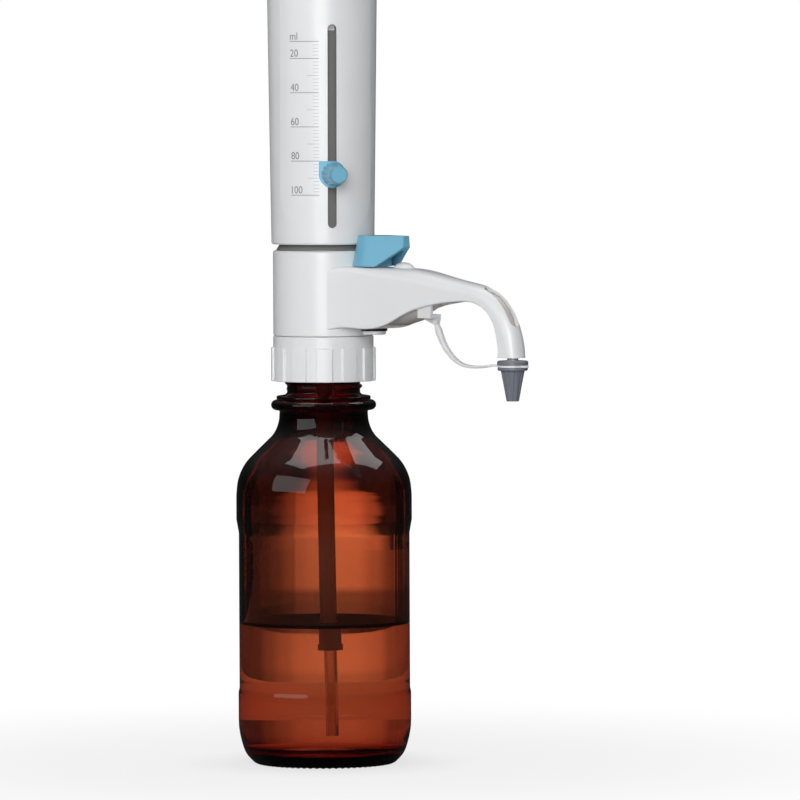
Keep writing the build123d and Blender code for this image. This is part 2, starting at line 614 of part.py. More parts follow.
def scale_panel():
    """The shallow flattened front: it runs out at the sides and ends in a step at its round foot."""
    half_width = SLEEVE_LOW_R * sin(radians(PANEL_HALF_ANGLE))
    foot_z = SLEEVE_LOW_Z + PANEL_MARGIN
    outline = Pos(0, PANEL_ROUND) * Ellipse(half_width, PANEL_ROUND)
    outline += Pos(0, PANEL_ROUND) * Rectangle(2 * half_width, 2 * SLEEVE_TOP_Z, align=(Align.CENTER, Align.MIN))
    plate = extrude(outward(PANEL_ANGLE, SLEEVE_LOW_R / 4, foot_z) * outline, amount=2 * SLEEVE_LOW_R)
    # the panel's own cone is a little larger than the sleeve's and set back, so both meet at the half angle
    edge = cos(radians(PANEL_HALF_ANGLE))
    back = PANEL_DEPTH / (1 - edge)
    wider = back - PANEL_DEPTH
    core = turned([
        (0, SLEEVE_LOW_Z - 1), (sleeve_outside(SLEEVE_LOW_Z - 1) + wider, SLEEVE_LOW_Z - 1),
        (sleeve_outside(SLEEVE_TOP_Z + 1) + wider, SLEEVE_TOP_Z + 1), (0, SLEEVE_TOP_Z + 1),
    ])
    a = radians(PANEL_ANGLE)
    return plate - Pos(-back * cos(a), -back * sin(a), 0) * core


def sleeve():
    low, top = SLEEVE_LOW_Z, SLEEVE_TOP_Z
    body = turned([
        (sleeve_outside(low) - SLEEVE_WALL, low), (sleeve_outside(low) - SLEEVE_ROUND, low),
        (sleeve_outside(low), low + SLEEVE_ROUND), (sleeve_outside(top), top),
        (sleeve_outside(top) - SLEEVE_WALL, top),
    ])
    body -= scale_panel()
    length = ZERO_Z - SLOT_LOW_Z
    slot = SlotOverall(length, SLOT_WIDTH, rotation=90)
    middle = (ZERO_Z + SLOT_LOW_Z) / 2
    body -= extrude(outward(SLOT_ANGLE, SLEEVE_LOW_R / 2, middle) * slot, amount=SLEEVE_LOW_R)
    return body


def sleeve_cap():
    """A low dome: a round rim that runs on into a flatter crown, over a spigot and the rod's boss."""
    r = sleeve_outside(SLEEVE_TOP_Z)
    low = SLEEVE_TOP_Z - CAP_SPIGOT
    spigot_r = sleeve_outside(low) - SLEEVE_WALL - FIT
    boss_r, boss_low = ROD_R + ROD_BOSS, low - CAP_SPIGOT
    inner_r, inner_top = spigot_r - CAP_SPIGOT_WALL, SLEEVE_TOP_Z - CAP_SPIGOT_WALL
    rim_z, top = SLEEVE_TOP_Z + CAP_RIM, SLEEVE_TOP_Z + CAP_DOME
    crown_half = 2 * atan((CAP_DOME - CAP_RIM - CAP_ROUND) / (r - CAP_ROUND))
    crown_r = (r - CAP_ROUND) / sin(crown_half) + CAP_ROUND

    def on_rim(lean):
        return (r - CAP_ROUND + CAP_ROUND * sin(lean), 0, rim_z + CAP_ROUND * cos(lean))

    def on_crown(lean):
        return (crown_r * sin(lean), 0, top - crown_r + crown_r * cos(lean))

    outline = [
        Polyline(*in_xz([
            (0, SLEEVE_TOP_Z), (ROD_R + FIT, SLEEVE_TOP_Z), (ROD_R + FIT, boss_low), (boss_r, boss_low),
            (boss_r, inner_top), (inner_r, inner_top), (inner_r, low), (spigot_r, low), (spigot_r, SLEEVE_TOP_Z),
            (r, SLEEVE_TOP_Z), (r, rim_z),
        ])),
        ThreePointArc((r, 0, rim_z), on_rim((pi / 2 + crown_half) / 2), on_rim(crown_half)),
        ThreePointArc(on_rim(crown_half), on_crown(crown_half / 2), (0, 0, top)),
        Line((0, 0, top), (0, 0, SLEEVE_TOP_Z)),
    ]
    return revolve(make_face(outline), Axis.Z)


def pointer_shell(inner_gap, thick):
    """Part of a cone that follows the sleeve's panel at the slot."""
    low, high = POINTER_Z - 12, POINTER_Z + 12
    inside = -PANEL_DEPTH + inner_gap
    return turned([
        (sleeve_outside(low) + inside, low), (sleeve_outside(low) + inside + thick, low),
        (sleeve_outside(high) + inside + thick, high), (sleeve_outside(high) + inside, high),
    ])


def volume_pointer():
    drop = Circle(POINTER_R) + Pos(-POINTER_R / 2, POINTER_R / 2) * Rectangle(POINTER_R, POINTER_R)
    column = extrude(outward(SLOT_ANGLE, SLEEVE_LOW_R / 2, POINTER_Z) * drop, amount=SLEEVE_LOW_R)
    hole = extrude(outward(SLOT_ANGLE, SLEEVE_LOW_R / 2, POINTER_Z) * Circle(STUD_R + FIT), amount=SLEEVE_LOW_R)
    return (pointer_shell(POINTER_GAP, POINTER_THICK) & column) - hole


def knob_seat_r():
    return sleeve_outside(POINTER_Z) - PANEL_DEPTH + POINTER_GAP + POINTER_THICK + KNOB_SEAT_GAP


def clamp_shoe():
    """The clamp behind the slot: a shoe on the inner wall, a neck in the slot and the knob's stud."""
    inner_wall = sleeve_outside(POINTER_Z) - SLEEVE_WALL
    width, height = SHOE_WIDTH, SHOE_HEIGHT
    column = extrude(outward(SLOT_ANGLE, SLEEVE_LOW_R / 2, POINTER_Z) * RectangleRounded(width, height, 1.2),
                     amount=SLEEVE_LOW_R)
    shoe = pointer_shell(PANEL_DEPTH - SLEEVE_WALL - 0.1 - SHOE_THICK, SHOE_THICK) & column
    neck_w = SLOT_WIDTH - 0.2
    neck_r = inner_wall - 1.0
    neck_long = sleeve_outside(POINTER_Z) - PANEL_DEPTH - 0.3 - neck_r
    shoe += extrude(outward(SLOT_ANGLE, neck_r, POINTER_Z) * Rectangle(neck_w, height - 1), amount=neck_long)
    stud_long = knob_seat_r() + STUD_LONG - neck_r
    return shoe + extrude(outward(SLOT_ANGLE, neck_r, POINTER_Z) * Circle(STUD_R), amount=stud_long)


def volume_knob():
    taper = degrees(atan((KNOB_BASE_R - KNOB_FACE_R) / KNOB_LONG))
    flute_ring = KNOB_BASE_R + 0.25
    outline = Circle(KNOB_BASE_R)
    for n in range(KNOB_FLUTES):
        a = 2 * pi * n / KNOB_FLUTES
        outline -= Pos(flute_ring * cos(a), flute_ring * sin(a)) * Circle(KNOB_FLUTE_R)
    seat = outward(SLOT_ANGLE, knob_seat_r(), POINTER_Z)
    body = extrude(seat * outline, amount=KNOB_LONG - KNOB_NOSE, taper=taper)
    face_r = KNOB_FACE_R + 0.2
    nose = loft([
        outward(SLOT_ANGLE, knob_seat_r() + KNOB_LONG - KNOB_NOSE, POINTER_Z) * Circle(face_r),
        outward(SLOT_ANGLE, knob_seat_r() + KNOB_LONG, POINTER_Z) * Circle(face_r - KNOB_NOSE_ROUND),
    ])
    return body + nose - extrude(seat * Circle(STUD_R + FIT), amount=STUD_LONG + 1)


def lever_outline(hub_r, reach, tip_half):
    """Plan of the lever: a round hub drawn out to a blunt tip by two tangent sides."""
    lean = asin((hub_r - tip_half) / reach)
    touch = (hub_r * sin(lean), hub_r * cos(lean))
    end = (reach, touch[1] - (reach - touch[0]) * tan(lean))
    edges = [
        ThreePointArc((touch[0], touch[1]), (-hub_r, 0), (touch[0], -touch[1])),
        Line((touch[0], -touch[1]), (end[0], -end[1])),
        Line((end[0], -end[1]), (end[0], end[1])),
        Line((end[0], end[1]), (touch[0], touch[1])),
    ]
    return make_face(edges)


def lever():
    height = LEVER_TOP_Z - LEVER_LOW_Z
    top = Pos(0, 0, height) * lever_outline(LEVER_HUB_TOP_R, LEVER_REACH, LEVER_TIP_HALF)
    low = lever_outline(LEVER_HUB_LOW_R, LEVER_REACH + 0.4, LEVER_TIP_HALF + 1.4)
    body = loft([low, top])
    end_x, end_z = LEVER_REACH + 3, height - LEVER_TIP_DEEP + 1.6
    slope = [(LEVER_SLOPE_FROM, -1), (end_x, -1), (end_x, end_z), (LEVER_SLOPE_FROM, 0)]
    wedge = extrude(Plane.XZ * make_face(Polyline(*slope, close=True)), amount=2 * LEVER_HUB_LOW_R, both=True)
    body -= wedge
    hollow_low = lever_outline(LEVER_HUB_LOW_R - LEVER_WALL, LEVER_REACH - LEVER_WALL, LEVER_TIP_HALF - 0.6)
    hollow_top = Pos(0, 0, height - LEVER_WALL) * lever_outline(
        LEVER_HUB_TOP_R - LEVER_WALL, LEVER_REACH - 2 * LEVER_WALL, LEVER_TIP_HALF - 1.2)
    hollow = loft([hollow_low, hollow_top])
    hollow -= Pos(0, 0, 1) * Box(2 * PLUG_SQUARE - 1, 2 * PLUG_SQUARE - 1, 4 * height)
    body -= hollow
    socket = PLUG_SQUARE + 2 * FIT
    body -= Pos(0, 0, -1) * Box(socket, socket, PLUG_SQUARE_LONG + 1, align=(Align.CENTER, Align.CENTER, Align.MIN))
    return Pos(LEVER_X, 0, LEVER_LOW_Z) * body


def stopcock_plug():
    plug = rod(PLUG_R, PLUG_LOW_Z + 0.2, LEVER_LOW_Z - VALVE_GAP)
    low = LEVER_LOW_Z - VALVE_GAP
    square = Box(PLUG_SQUARE, PLUG_SQUARE, PLUG_SQUARE_LONG, align=(Align.CENTER, Align.CENTER, Align.MIN))
    plug += Pos(0, 0, low) * square
    plug = Pos(LEVER_X, 0, 0) * plug
    return plug - rod_along_x(CHANNEL_R, LEVER_X - 2 * PLUG_R, LEVER_X + 2 * PLUG_R)


def vent_washer():
    low = VENT_TOP_Z - VENT_WASHER_THICK
    return Pos(VENT_X, 0, 0) * ring(VENT_WASHER_R, LUER_R + 1.0, low, VENT_TOP_Z)


def vent_cap():
    top = VENT_TOP_Z - VENT_WASHER_THICK
    low = top - VENT_CAP_THICK
    return Pos(VENT_X, 0, 0) * turned([
        (0, low), (VENT_CAP_R - 0.7, low), (VENT_CAP_R, low + 0.7), (VENT_CAP_R, top), (LUER_R, top),
        (LUER_R, VENT_TOP_Z + LUER_LONG), (0, VENT_TOP_Z + LUER_LONG),
    ])


def coupling_nut():
    return turned_along_x([
        (NUT_FROM_X, NUT_HOLE_R), (NUT_FROM_X, NUT_R - 0.8), (NUT_FROM_X + 0.8, NUT_R), (NUT_TO_X, NUT_R),
        (NUT_TO_X, NUT_HOLE_R),
    ])


def discharge_valve_body():
    neck = NUT_HOLE_R - FIT
    chamber = OUTLET_BALL_R + OUTLET_BALL_CLEAR
    chamber_end = VALVE_NOSE_X - OUTLET_CHAMBER_END
    seat_x = OUTLET_BALL_X - sqrt(OUTLET_BALL_R**2 - CHANNEL_R**2) - 0.02
    tube_x = BLOCK_R + TUBE_ROUTE[0][0]
    return turned_along_x([
        (NUT_FROM_X + FIT, CHANNEL_R), (NUT_FROM_X + FIT, neck), (NUT_TO_X, neck), (NUT_TO_X, NUT_R),
        (VALVE_SHOULDER_X, VALVE_SHOULDER_R), (VALVE_NOSE_X - VALVE_NOSE_TAPER, POCKET_HALF - VALVE_GAP),
        (VALVE_NOSE_X, VALVE_NOSE_R), (VALVE_NOSE_X, TUBE_R + FIT), (tube_x, TUBE_R + FIT), (tube_x, CHANNEL_R),
        (chamber_end, CHANNEL_R), (chamber_end, chamber), (seat_x, chamber), (seat_x, CHANNEL_R),
    ])


def discharge_ball():
    return Pos(OUTLET_BALL_X, 0, FLOW_Z) * Sphere(OUTLET_BALL_R)


def discharge_spring():
    start = OUTLET_BALL_X + OUTLET_BALL_R + OUTLET_BALL_CLEAR
    end = VALVE_NOSE_X - OUTLET_CHAMBER_END - OUTLET_BALL_CLEAR
    pitch = (end - start) / SPRING_TURNS
    path = Helix(pitch, end - start, SPRING_COIL_R, center=(start, 0, FLOW_Z), direction=(1, 0, 0))
    section = Plane(origin=path @ 0, z_dir=path % 0) * Circle(SPRING_WIRE_R)
    return sweep(section, path=path, is_frenet=True)


def discharge_tube():
    path = tube_path(TUBE_ROUTE, TUBE_BENDS)
    return along(path, Circle(TUBE_R) - Circle(TUBE_BORE_R))


def nozzle_cap():
    low = CAP_TOP_Z - CAP_LONG
    flange_low = CAP_TOP_Z - CAP_FLANGE_THICK
    collar_top = flange_low - RING_THICK - RING_GAP
    collar_low = collar_top - CAP_COLLAR_THICK
    body_long = collar_low - low
    outline = Circle(CAP_BODY_R)
    flute_ring = CAP_BODY_R + 0.35
    for n in range(CAP_FLUTES):
        a = 2 * pi * n / CAP_FLUTES
        outline -= Pos(flute_ring * cos(a), flute_ring * sin(a)) * Circle(CAP_FLUTE_R)
    taper = degrees(atan((CAP_BODY_R - CAP_TIP_R) / body_long))
    body = Pos(0, 0, collar_low) * extrude(outline, amount=-body_long, taper=taper)
    flange = turned([
        (0, collar_low), (CAP_COLLAR_R - 0.5, collar_low), (CAP_COLLAR_R, collar_low + 0.5),
        (CAP_COLLAR_R, collar_top), (CAP_BODY_R, collar_top), (CAP_BODY_R, flange_low),
        (CAP_FLANGE_R, flange_low), (CAP_FLANGE_R, CAP_TOP_Z - 0.6), (CAP_FLANGE_R - 0.6, CAP_TOP_Z), (0, CAP_TOP_Z),
    ])
    cap = body + flange
    cap -= rod(TUBE_R + FIT, CAP_TOP_Z - CAP_BORE_DEPTH, CAP_TOP_Z + 1)
    cap -= turned([(0, CAP_TOP_Z - 2.4), (TUBE_R, CAP_TOP_Z - 2.4), (CAP_FLANGE_R - 2.2, CAP_TOP_Z + 0.1),
                   (0, CAP_TOP_Z + 0.1)])
    return Pos(CAP_X, 0, 0) * cap


def tether_ring():
    """The loop in the groove between the cap's flange and collar, with its pull ear and its link to the strap."""
    top = CAP_TOP_Z - CAP_FLANGE_THICK - RING_GAP / 2
    inner = CAP_BODY_R + RING_GAP
    loop = ring(inner + RING_WIDE, inner, top - RING_THICK, top)
    ear = Box(3.2, STRAP_WIDE, RING_THICK, align=(Align.MIN, Align.CENTER, Align.MAX))
    loop += Pos(inner + RING_WIDE - 0.4, 0, top) * fillet(ear.edges().filter_by(Axis.Z).group_by(Axis.X)[-1], 1.2)
    link_x = STRAP_ROUTE[-1][0] - CAP_OUT + 0.1
    link = Box(-link_x - inner - 0.3, STRAP_WIDE, RING_THICK, align=(Align.MIN, Align.CENTER, Align.MAX))
    loop += Pos(link_x, 0, top) * link
    return Pos(CAP_X, 0, 0) * loop


def tether_strap():
    path = tube_path(STRAP_ROUTE, STRAP_BENDS)
    return along(path, Rectangle(STRAP_WIDE, STRAP_THICK))


def tether_clip():
    """The strap's root: a hook pressed into the arm's open underside and a gusset that thins to the strap."""
    left, right = CLIP_LOW_X, CLIP_HIGH_X
    start, after = [Vector(*point) for point in in_arm(STRAP_ROUTE[:2])]
    run = (after - start).normalized()
    side = Vector(-run.Z, 0, run.X) * (STRAP_THICK / 2)
    outline = Polyline(
        (left, 0, CLIP_BAR_Z), (left, 0, CLIP_BAR_Z - 1.0), start - side, start + side, (right, 0, CLIP_BAR_Z),
        close=True,
    )
    gusset = extrude(make_face(outline), amount=CLIP_PLATE / 2, both=True)
    side_y = -(POCKET_HALF - FIT)
    corner = Pos(left, side_y, CLIP_BAR_Z)
    lifted = (Align.MIN, Align.MIN, Align.MIN)
    leg = Box(CLIP_LONG, CLIP_LEG, CLIP_HEIGHT, align=lifted)
    bar = Box(CLIP_LONG, CLIP_PLATE / 2 - side_y, CLIP_BAR_THICK, align=lifted)
    return gusset + corner * leg + corner * bar


def filling_valve_body():
    chamber_top, chamber_low = BALL_SEAT_Z + BALL_CHAMBER, BALL_SEAT_Z - SEAT_THICK
    return turned([
        (CHANNEL_R, VALVE_LOW_Z), (BARB_R - 0.3, VALVE_LOW_Z), (BARB_R, VALVE_LOW_Z + 1.5),
        (BARB_R, FILLING_TUBE_TOP_Z), (BARB_SHOULDER_R, FILLING_TUBE_TOP_Z), (VALVE_BODY_R - 0.4, VALVE_CONE_Z),
        (VALVE_BODY_R - 0.4, SEAL_TOP_Z), (VALVE_BODY_R, SEAL_TOP_Z), (VALVE_BODY_R, VALVE_TOP_Z),
        (VALVE_BORE_R, VALVE_TOP_Z), (VALVE_BORE_R, chamber_top), (BALL_CHAMBER_R, chamber_top),
        (BALL_CHAMBER_R, chamber_low), (CHANNEL_R, chamber_low),
    ])


def filling_valve_seat():
    return ring(BALL_CHAMBER_R - FIT, CHANNEL_R, BALL_SEAT_Z - SEAT_THICK, BALL_SEAT_Z)


def filling_ball():
    return Pos(0, 0, BALL_SEAT_Z + sqrt(BALL_R**2 - CHANNEL_R**2) + 0.02) * Sphere(BALL_R)


def leaning(shape):
    """Leans a tube about its top end, below the inlet valve."""
    a = radians(TUBE_LEAN_ANGLE)
    pivot = (0, 0, FILLING_TUBE_TOP_Z)
    return shape.rotate(Axis(pivot, (sin(a), -cos(a), 0)), TUBE_LEAN)


def filling_tube():
    inner = FILLING_TUBE_R - FILLING_TUBE_WALL
    end = FILLING_TUBE_LOW_Z
    top = FILLING_TUBE_TOP_Z - TUBE_SEAT_GAP
    return turned([
        (TELESCOPE_R + FIT, end - TUBE_END_LONG), (TUBE_END_R, end - TUBE_END_LONG), (TUBE_END_R, end),
        (FILLING_TUBE_R, end), (FILLING_TUBE_R, top), (inner + 0.3, top),
        (inner + 0.3, VALVE_LOW_Z - 2), (inner, VALVE_LOW_Z - 2), (inner, end), (TELESCOPE_R + FIT, end),
    ])


def telescopic_tube():
    return ring(TELESCOPE_R, TELESCOPE_R - TELESCOPE_WALL, TELESCOPE_LOW_Z, TELESCOPE_LOW_Z + TELESCOPE_LONG)


def return_tube():
    return Pos(RETURN_OUT, 0, 0) * ring(RETURN_R, RETURN_R - RETURN_WALL, RETURN_LOW_Z, RETURN_HIGH_Z)


PARTS = {
    "bottle": bottle,
    "bottle_seal": lambda: ring(SEAL_R, NECK_BORE_R, MOUTH_Z, SEAL_TOP_Z),
    "collar_nut": collar_nut,
    "valve_block": valve_block,
    "housing": housing,
    "cylinder_seal": lambda: ring(CYLINDER_R, BORE_R, CORE_TOP_Z, CYLINDER_LOW_Z),
    "glass_cylinder": lambda: ring(CYLINDER_R, BORE_R, CYLINDER_LOW_Z, CYLINDER_TOP_Z),
    "guard_tube": guard_tube,
    "volume_stop": volume_stop,
    "piston_head": piston_head,
    "piston_seal": piston_seal,
    "piston_rod": piston_rod,
    "sleeve": sleeve,
    "sleeve_cap": sleeve_cap,
    "volume_pointer": volume_pointer,
    "clamp_shoe": clamp_shoe,
    "volume_knob": volume_knob,
    "lever": lever,
    "stopcock_plug": stopcock_plug,
    "vent_washer": vent_washer,
    "vent_cap": vent_cap,
    "coupling_nut": coupling_nut,
    "discharge_valve_body": discharge_valve_body,
    "discharge_ball": discharge_ball,
    "discharge_spring": discharge_spring,
    "discharge_tube": discharge_tube,
    "nozzle_cap": nozzle_cap,
    "tether_ring": tether_ring,
    "tether_strap": tether_strap,
    "tether_clip": tether_clip,
    "filling_valve_body": filling_valve_body,
    "filling_valve_seat": filling_valve_seat,
    "filling_ball": filling_ball,
    "filling_tube": lambda: leaning(filling_tube()),
    "telescopic_tube": lambda: leaning(telescopic_tube()),
    "return_tube": return_tube,
}

for name, make in PARTS.items():
    export_step(make(), f"parts/{name}.step")
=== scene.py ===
import json
from math import cos, pi, radians, sin, sqrt

import bpy
import numpy as np
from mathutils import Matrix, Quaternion, Vector


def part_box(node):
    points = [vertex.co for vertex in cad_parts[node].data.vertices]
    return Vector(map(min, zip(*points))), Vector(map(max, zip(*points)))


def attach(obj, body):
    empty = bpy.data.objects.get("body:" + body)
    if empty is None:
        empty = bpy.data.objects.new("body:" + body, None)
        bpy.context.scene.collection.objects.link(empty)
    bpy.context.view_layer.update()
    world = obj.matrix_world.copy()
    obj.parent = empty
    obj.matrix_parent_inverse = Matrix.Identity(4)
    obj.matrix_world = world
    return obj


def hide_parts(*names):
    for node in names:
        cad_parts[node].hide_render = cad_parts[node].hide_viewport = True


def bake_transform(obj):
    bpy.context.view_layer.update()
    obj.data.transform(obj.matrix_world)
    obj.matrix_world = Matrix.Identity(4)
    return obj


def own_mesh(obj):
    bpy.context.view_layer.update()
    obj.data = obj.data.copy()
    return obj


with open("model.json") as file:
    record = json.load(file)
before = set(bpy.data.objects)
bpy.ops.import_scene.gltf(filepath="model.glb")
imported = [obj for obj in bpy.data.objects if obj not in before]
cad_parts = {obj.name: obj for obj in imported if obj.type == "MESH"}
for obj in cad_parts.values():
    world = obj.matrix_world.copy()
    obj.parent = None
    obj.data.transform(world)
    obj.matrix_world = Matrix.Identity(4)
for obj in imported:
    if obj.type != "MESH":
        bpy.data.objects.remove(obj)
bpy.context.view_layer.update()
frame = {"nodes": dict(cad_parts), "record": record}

MM = 0.001

# Camera: a long lens far back, a little above the sleeve's middle, 42 degrees round from the arm's side
VIEW_AZIMUTH = radians(42.0)
CAMERA_FAR = 4.2
CAMERA_HEIGHT = 0.408
FIELD_WIDTH = 0.464
FIELD_SIDE = 0.0443
FIELD_MIDDLE_HEIGHT = 0.2108
CAMERA_ROLL = radians(-0.22)
CAMERA_CLIP = 100.0
SENSOR = 36.0
RIGHT = Vector((cos(VIEW_AZIMUTH), sin(VIEW_AZIMUTH), 0))
TOWARDS = Vector((sin(VIEW_AZIMUTH), -cos(VIEW_AZIMUTH), 0))

# Back light: a lit card behind the bottle, in metres to the right of its axis and up from the floor
# Its tones are given across it, across its part behind the liquid, and up it, sagging towards the sides
BACK_LIGHT_FAR = 0.35
BACK_LIGHT_LEFT = -0.8
BACK_LIGHT_RIGHT = 0.9
BACK_LIGHT_LOW_Z = 0.001
BACK_LIGHT_HIGH_Z = 0.9
BACK_LIGHT_BRIGHT = 1.35
TONE_ACROSS_HALF = 0.1
TONE_ACROSS = (
    (-0.080, 0.0), (-0.060, 0.04), (-0.046, 0.12), (-0.029, 0.34), (-0.026, 0.60), (-0.010, 0.80),
    (0.010, 1.0), (0.022, 1.0), (0.040, 0.66), (0.062, 0.30), (0.095, 0.10))
TONE_IN_LIQUID_HALF = 0.16
TONE_IN_LIQUID_Z = 0.049
TONE_IN_LIQUID = (
    (-0.15, 0.4), (-0.10, 0.75), (-0.04, 0.9), (0.0, 0.85), (0.03, 0.75), (0.06, 0.5), (0.10, 0.28),
    (0.15, 0.1))
TONE_UP_TOP = 0.26
TONE_UP = (
    (0.0, 0.62), (0.014, 0.62), (0.03, 0.85), (0.0485, 0.8), (0.0495, 0.20), (0.072, 0.26),
    (0.078, 0.72), (0.11, 0.8), (0.140, 1.0), (0.165, 0.8), (0.20, 0.02))
TONE_SAG = 20.0
TONE_SAG_FROM_Z = 0.1

# World: its light from the camera's side to the back, its tones in mirrors by height, its tone through glass
WORLD_FRONT = -0.35
WORLD_BACK = 0.55
WORLD_FRONT_LIGHT = 0.12
WORLD_BACK_LIGHT = 0.60
WORLD_IN_MIRRORS = ((0.1, 0.02), (0.6, 0.10), (1.0, 0.3))
WORLD_THROUGH_GLASS = 0.28

# Floor: its glow for the camera by distance from the axis, and its plain tones
FLOOR_HALF = 20.0
FLOOR_GLOW_FAR = 0.5
FLOOR_GLOW = ((0.03, 0.72), (0.10, 0.84), (0.45, 1.0))
FLOOR_THROUGH_GLASS = 0.6
FLOOR_TONE = 0.5
FLOOR_TONE_IN_MIRRORS = 0.06

# Lamps: places in metres to the right, towards the camera and up, heights aimed at, sizes and watts
WHITE_LIGHT = (1, 1, 1, 1)
STRIP_PLACE = (-0.1, 2.3, 0.82)
STRIP_AIM_Z = 0.5
STRIP_SIZE = (1.0, 1.36)
STRIP_POWER = 32
LEFT_PLACE = (-1.6, 1.45, 1.05)
LEFT_AIM_Z = 0.2
LEFT_SIZE = (2.1, 1.3)
LEFT_POWER = 10
WINDOW_PLACES = {"window_left": (-0.26, 0.09, 1.8), "window_right": (0.95, -0.38, 1.8)}
WINDOW_AIM_Z = 0.18
WINDOW_SIZE = (0.9, 1.3)
WINDOW_POWER = 8

# Bottle, in millimetres: the solid's sizes, with the thread, the knurls and the mould seams that it lacks
BOTTLE_R = 50.2
LABEL_R = 49.6
SHOULDER_R = 51.0
GLASS_WALL = 3.2
HEEL_Z = 26.0
SHOULDER_Z = 153.0
NECK_ROOT_R = 21.2
NECK_BORE_R = 15.3
MOUTH_Z = 243.0
BASE_STEPS = 3
CURVE_STEPS = 5
RING_STEPS = 15
LABEL_ROWS = 20
WALL_ROWS = 24
THREAD_ROW = 0.4
THREAD_CREST = 1.25
THREAD_PITCH = 4.0
THREAD_LOW_Z = 216.4
THREAD_HIGH_Z = 240.5
THREAD_STARTS = radians(-20.0)
THREAD_RUN_IN = 0.6
THREAD_RUN_OUT = 2.0
THREAD_FULLNESS = 0.25
KNURLS = 66
KNURL_COLUMNS = 8
KNURL_DEPTH = 0.55
KNURL_ROUNDNESS = 0.7
KNURL_INNER_R = 36.0
KNURL_OUTER_R = 41.5
KNURL_TOP_Z = 1.2
SEAM_HEIGHT = 0.06
SEAM_TURN = radians(10)
SEAM_SHARPNESS = 60
SEAM_INNER_R = 30
SEAM_TOP_Z = 200

# Liquid: its level, its overlap with the glass, and its meniscus by distance from the wall and share of rise
LIQUID_Z = 82.0
LIQUID_GRIP = 0.08
LIQUID_LINE = 0.5
LIQUID_COLUMNS = 192
MENISCUS = 1.4
MENISCUS_CURVE = ((0.15, 0.9), (0.7, 0.45), (1.7, 0.16), (3.4, 0.03), (6, 0))

# Sleeve, its flattened front and the scale printed on it
SLEEVE_LOW_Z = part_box("sleeve")[0].z / MM
SLEEVE_LOW_R = 29.85
SLEEVE_SLOPE = 0.0134
PANEL_ANGLE = radians(-42.0)
PANEL_DEPTH = 0.4
PANEL_HALF_ANGLE = radians(61.0)
ML = 0.98244
ZERO_Z = 428.5
SCALE_FROM = 10
SCALE_TO = 100
SCALE_STEP = 2
MIDDLE_STEP = 10
FIGURE_STEP = 20
SCALE_RIGHT = radians(-51.0)
LONG_LINE = radians(33.0)
MIDDLE_LINE = radians(13.0)
SHORT_LINE = radians(6.6)
LINE_THICK = 0.34
TICK_THICK = 0.27
DIGIT_HEIGHT = 4.2
DIGIT_WIDE = 0.92
DIGIT_RISE = 1.0
DIGIT_INSET = radians(0.5)
TYPE_DEPTH = 0.01
INK_THICK = 0.04
INK_LIFT = 0.02

# Tether strap: its route in the arm's plane and its half sizes, in millimetres
STRAP_ROUTE = ((88.3, 256.8), (89.6, 253.4), (91.6, 249.0), (95.0, 243.6), (99.4, 239.0), (104.0, 235.8),
               (109.4, 233.8), (117.6, 233.1), (129.0, 234.0))
STRAP_Y_HALF = 1.7
STRAP_HALF_THICK = (1.0, 1.9, 1.7, 1.45, 1.2, 1.0, 0.9, 0.8, 0.65)
STRAP_STEPS = 6
STRAP_SIDES = 16
STRAP_ROUNDNESS = 0.55

# Outlet spring: it lies where the solid does
SPRING_TURNS = 4
SPRING_WIRE_R = 0.35
SPRING_RINGS_A_TURN = 28
SPRING_SIDES = 10

# Textures: clouds and gloss of the mouldings, and the stretch of the drag lines in glass
CLOUD_SCALE = 38.0
GLOSS_SPREAD = 0.12
DRAG_STRETCH = (60, 60, 6)


def smooth_run(points, steps):
    """A curve through points, corners included, by cubic pieces whose slopes follow the neighbours."""
    p = np.array(points, float)
    ahead = np.linalg.norm(np.diff(p, axis=0), axis=1)
    slope = np.zeros_like(p)
    slope[1:-1] = (p[2:] - p[:-2]) / (ahead[1:] + ahead[:-1])[:, None]
    slope[0], slope[-1] = (p[1] - p[0]) / ahead[0], (p[-1] - p[-2]) / ahead[-1]
    made = [p[0]]
    for n in range(len(p) - 1):
        for s in range(1, steps + 1):
            t = s / steps
            made.append(
                (2 * t**3 - 3 * t**2 + 1) * p[n] + (t**3 - 2 * t**2 + t) * ahead[n] * slope[n]
                + (3 * t**2 - 2 * t**3) * p[n + 1] + (t**3 - t**2) * ahead[n] * slope[n + 1])
    return [tuple(q) for q in made]


def new_object(name, vertices, faces, smooth=True):
    """A mesh object in the scene, from points in metres."""
    mesh = bpy.data.meshes.new(name)
    mesh.from_pydata([tuple(v) for v in vertices], [], faces)
    mesh.validate()
    mesh.update()
    if smooth:
        mesh.polygons.foreach_set("use_smooth", [True] * len(mesh.polygons))
    piece = bpy.data.objects.new(name, mesh)
    bpy.context.scene.collection.objects.link(piece)
    return piece


def tube_faces(rings, sides):
    """The faces of a tube made of rings of points, closed at both ends."""
    faces = []
    for n in range(rings - 1):
        a, b = n * sides, (n + 1) * sides
        faces += [(a + k, a + (k + 1) % sides, b + (k + 1) % sides, b + k) for k in range(sides)]
    last = (rings - 1) * sides
    return [*faces, tuple(range(sides))[::-1], tuple(range(last, last + sides))]


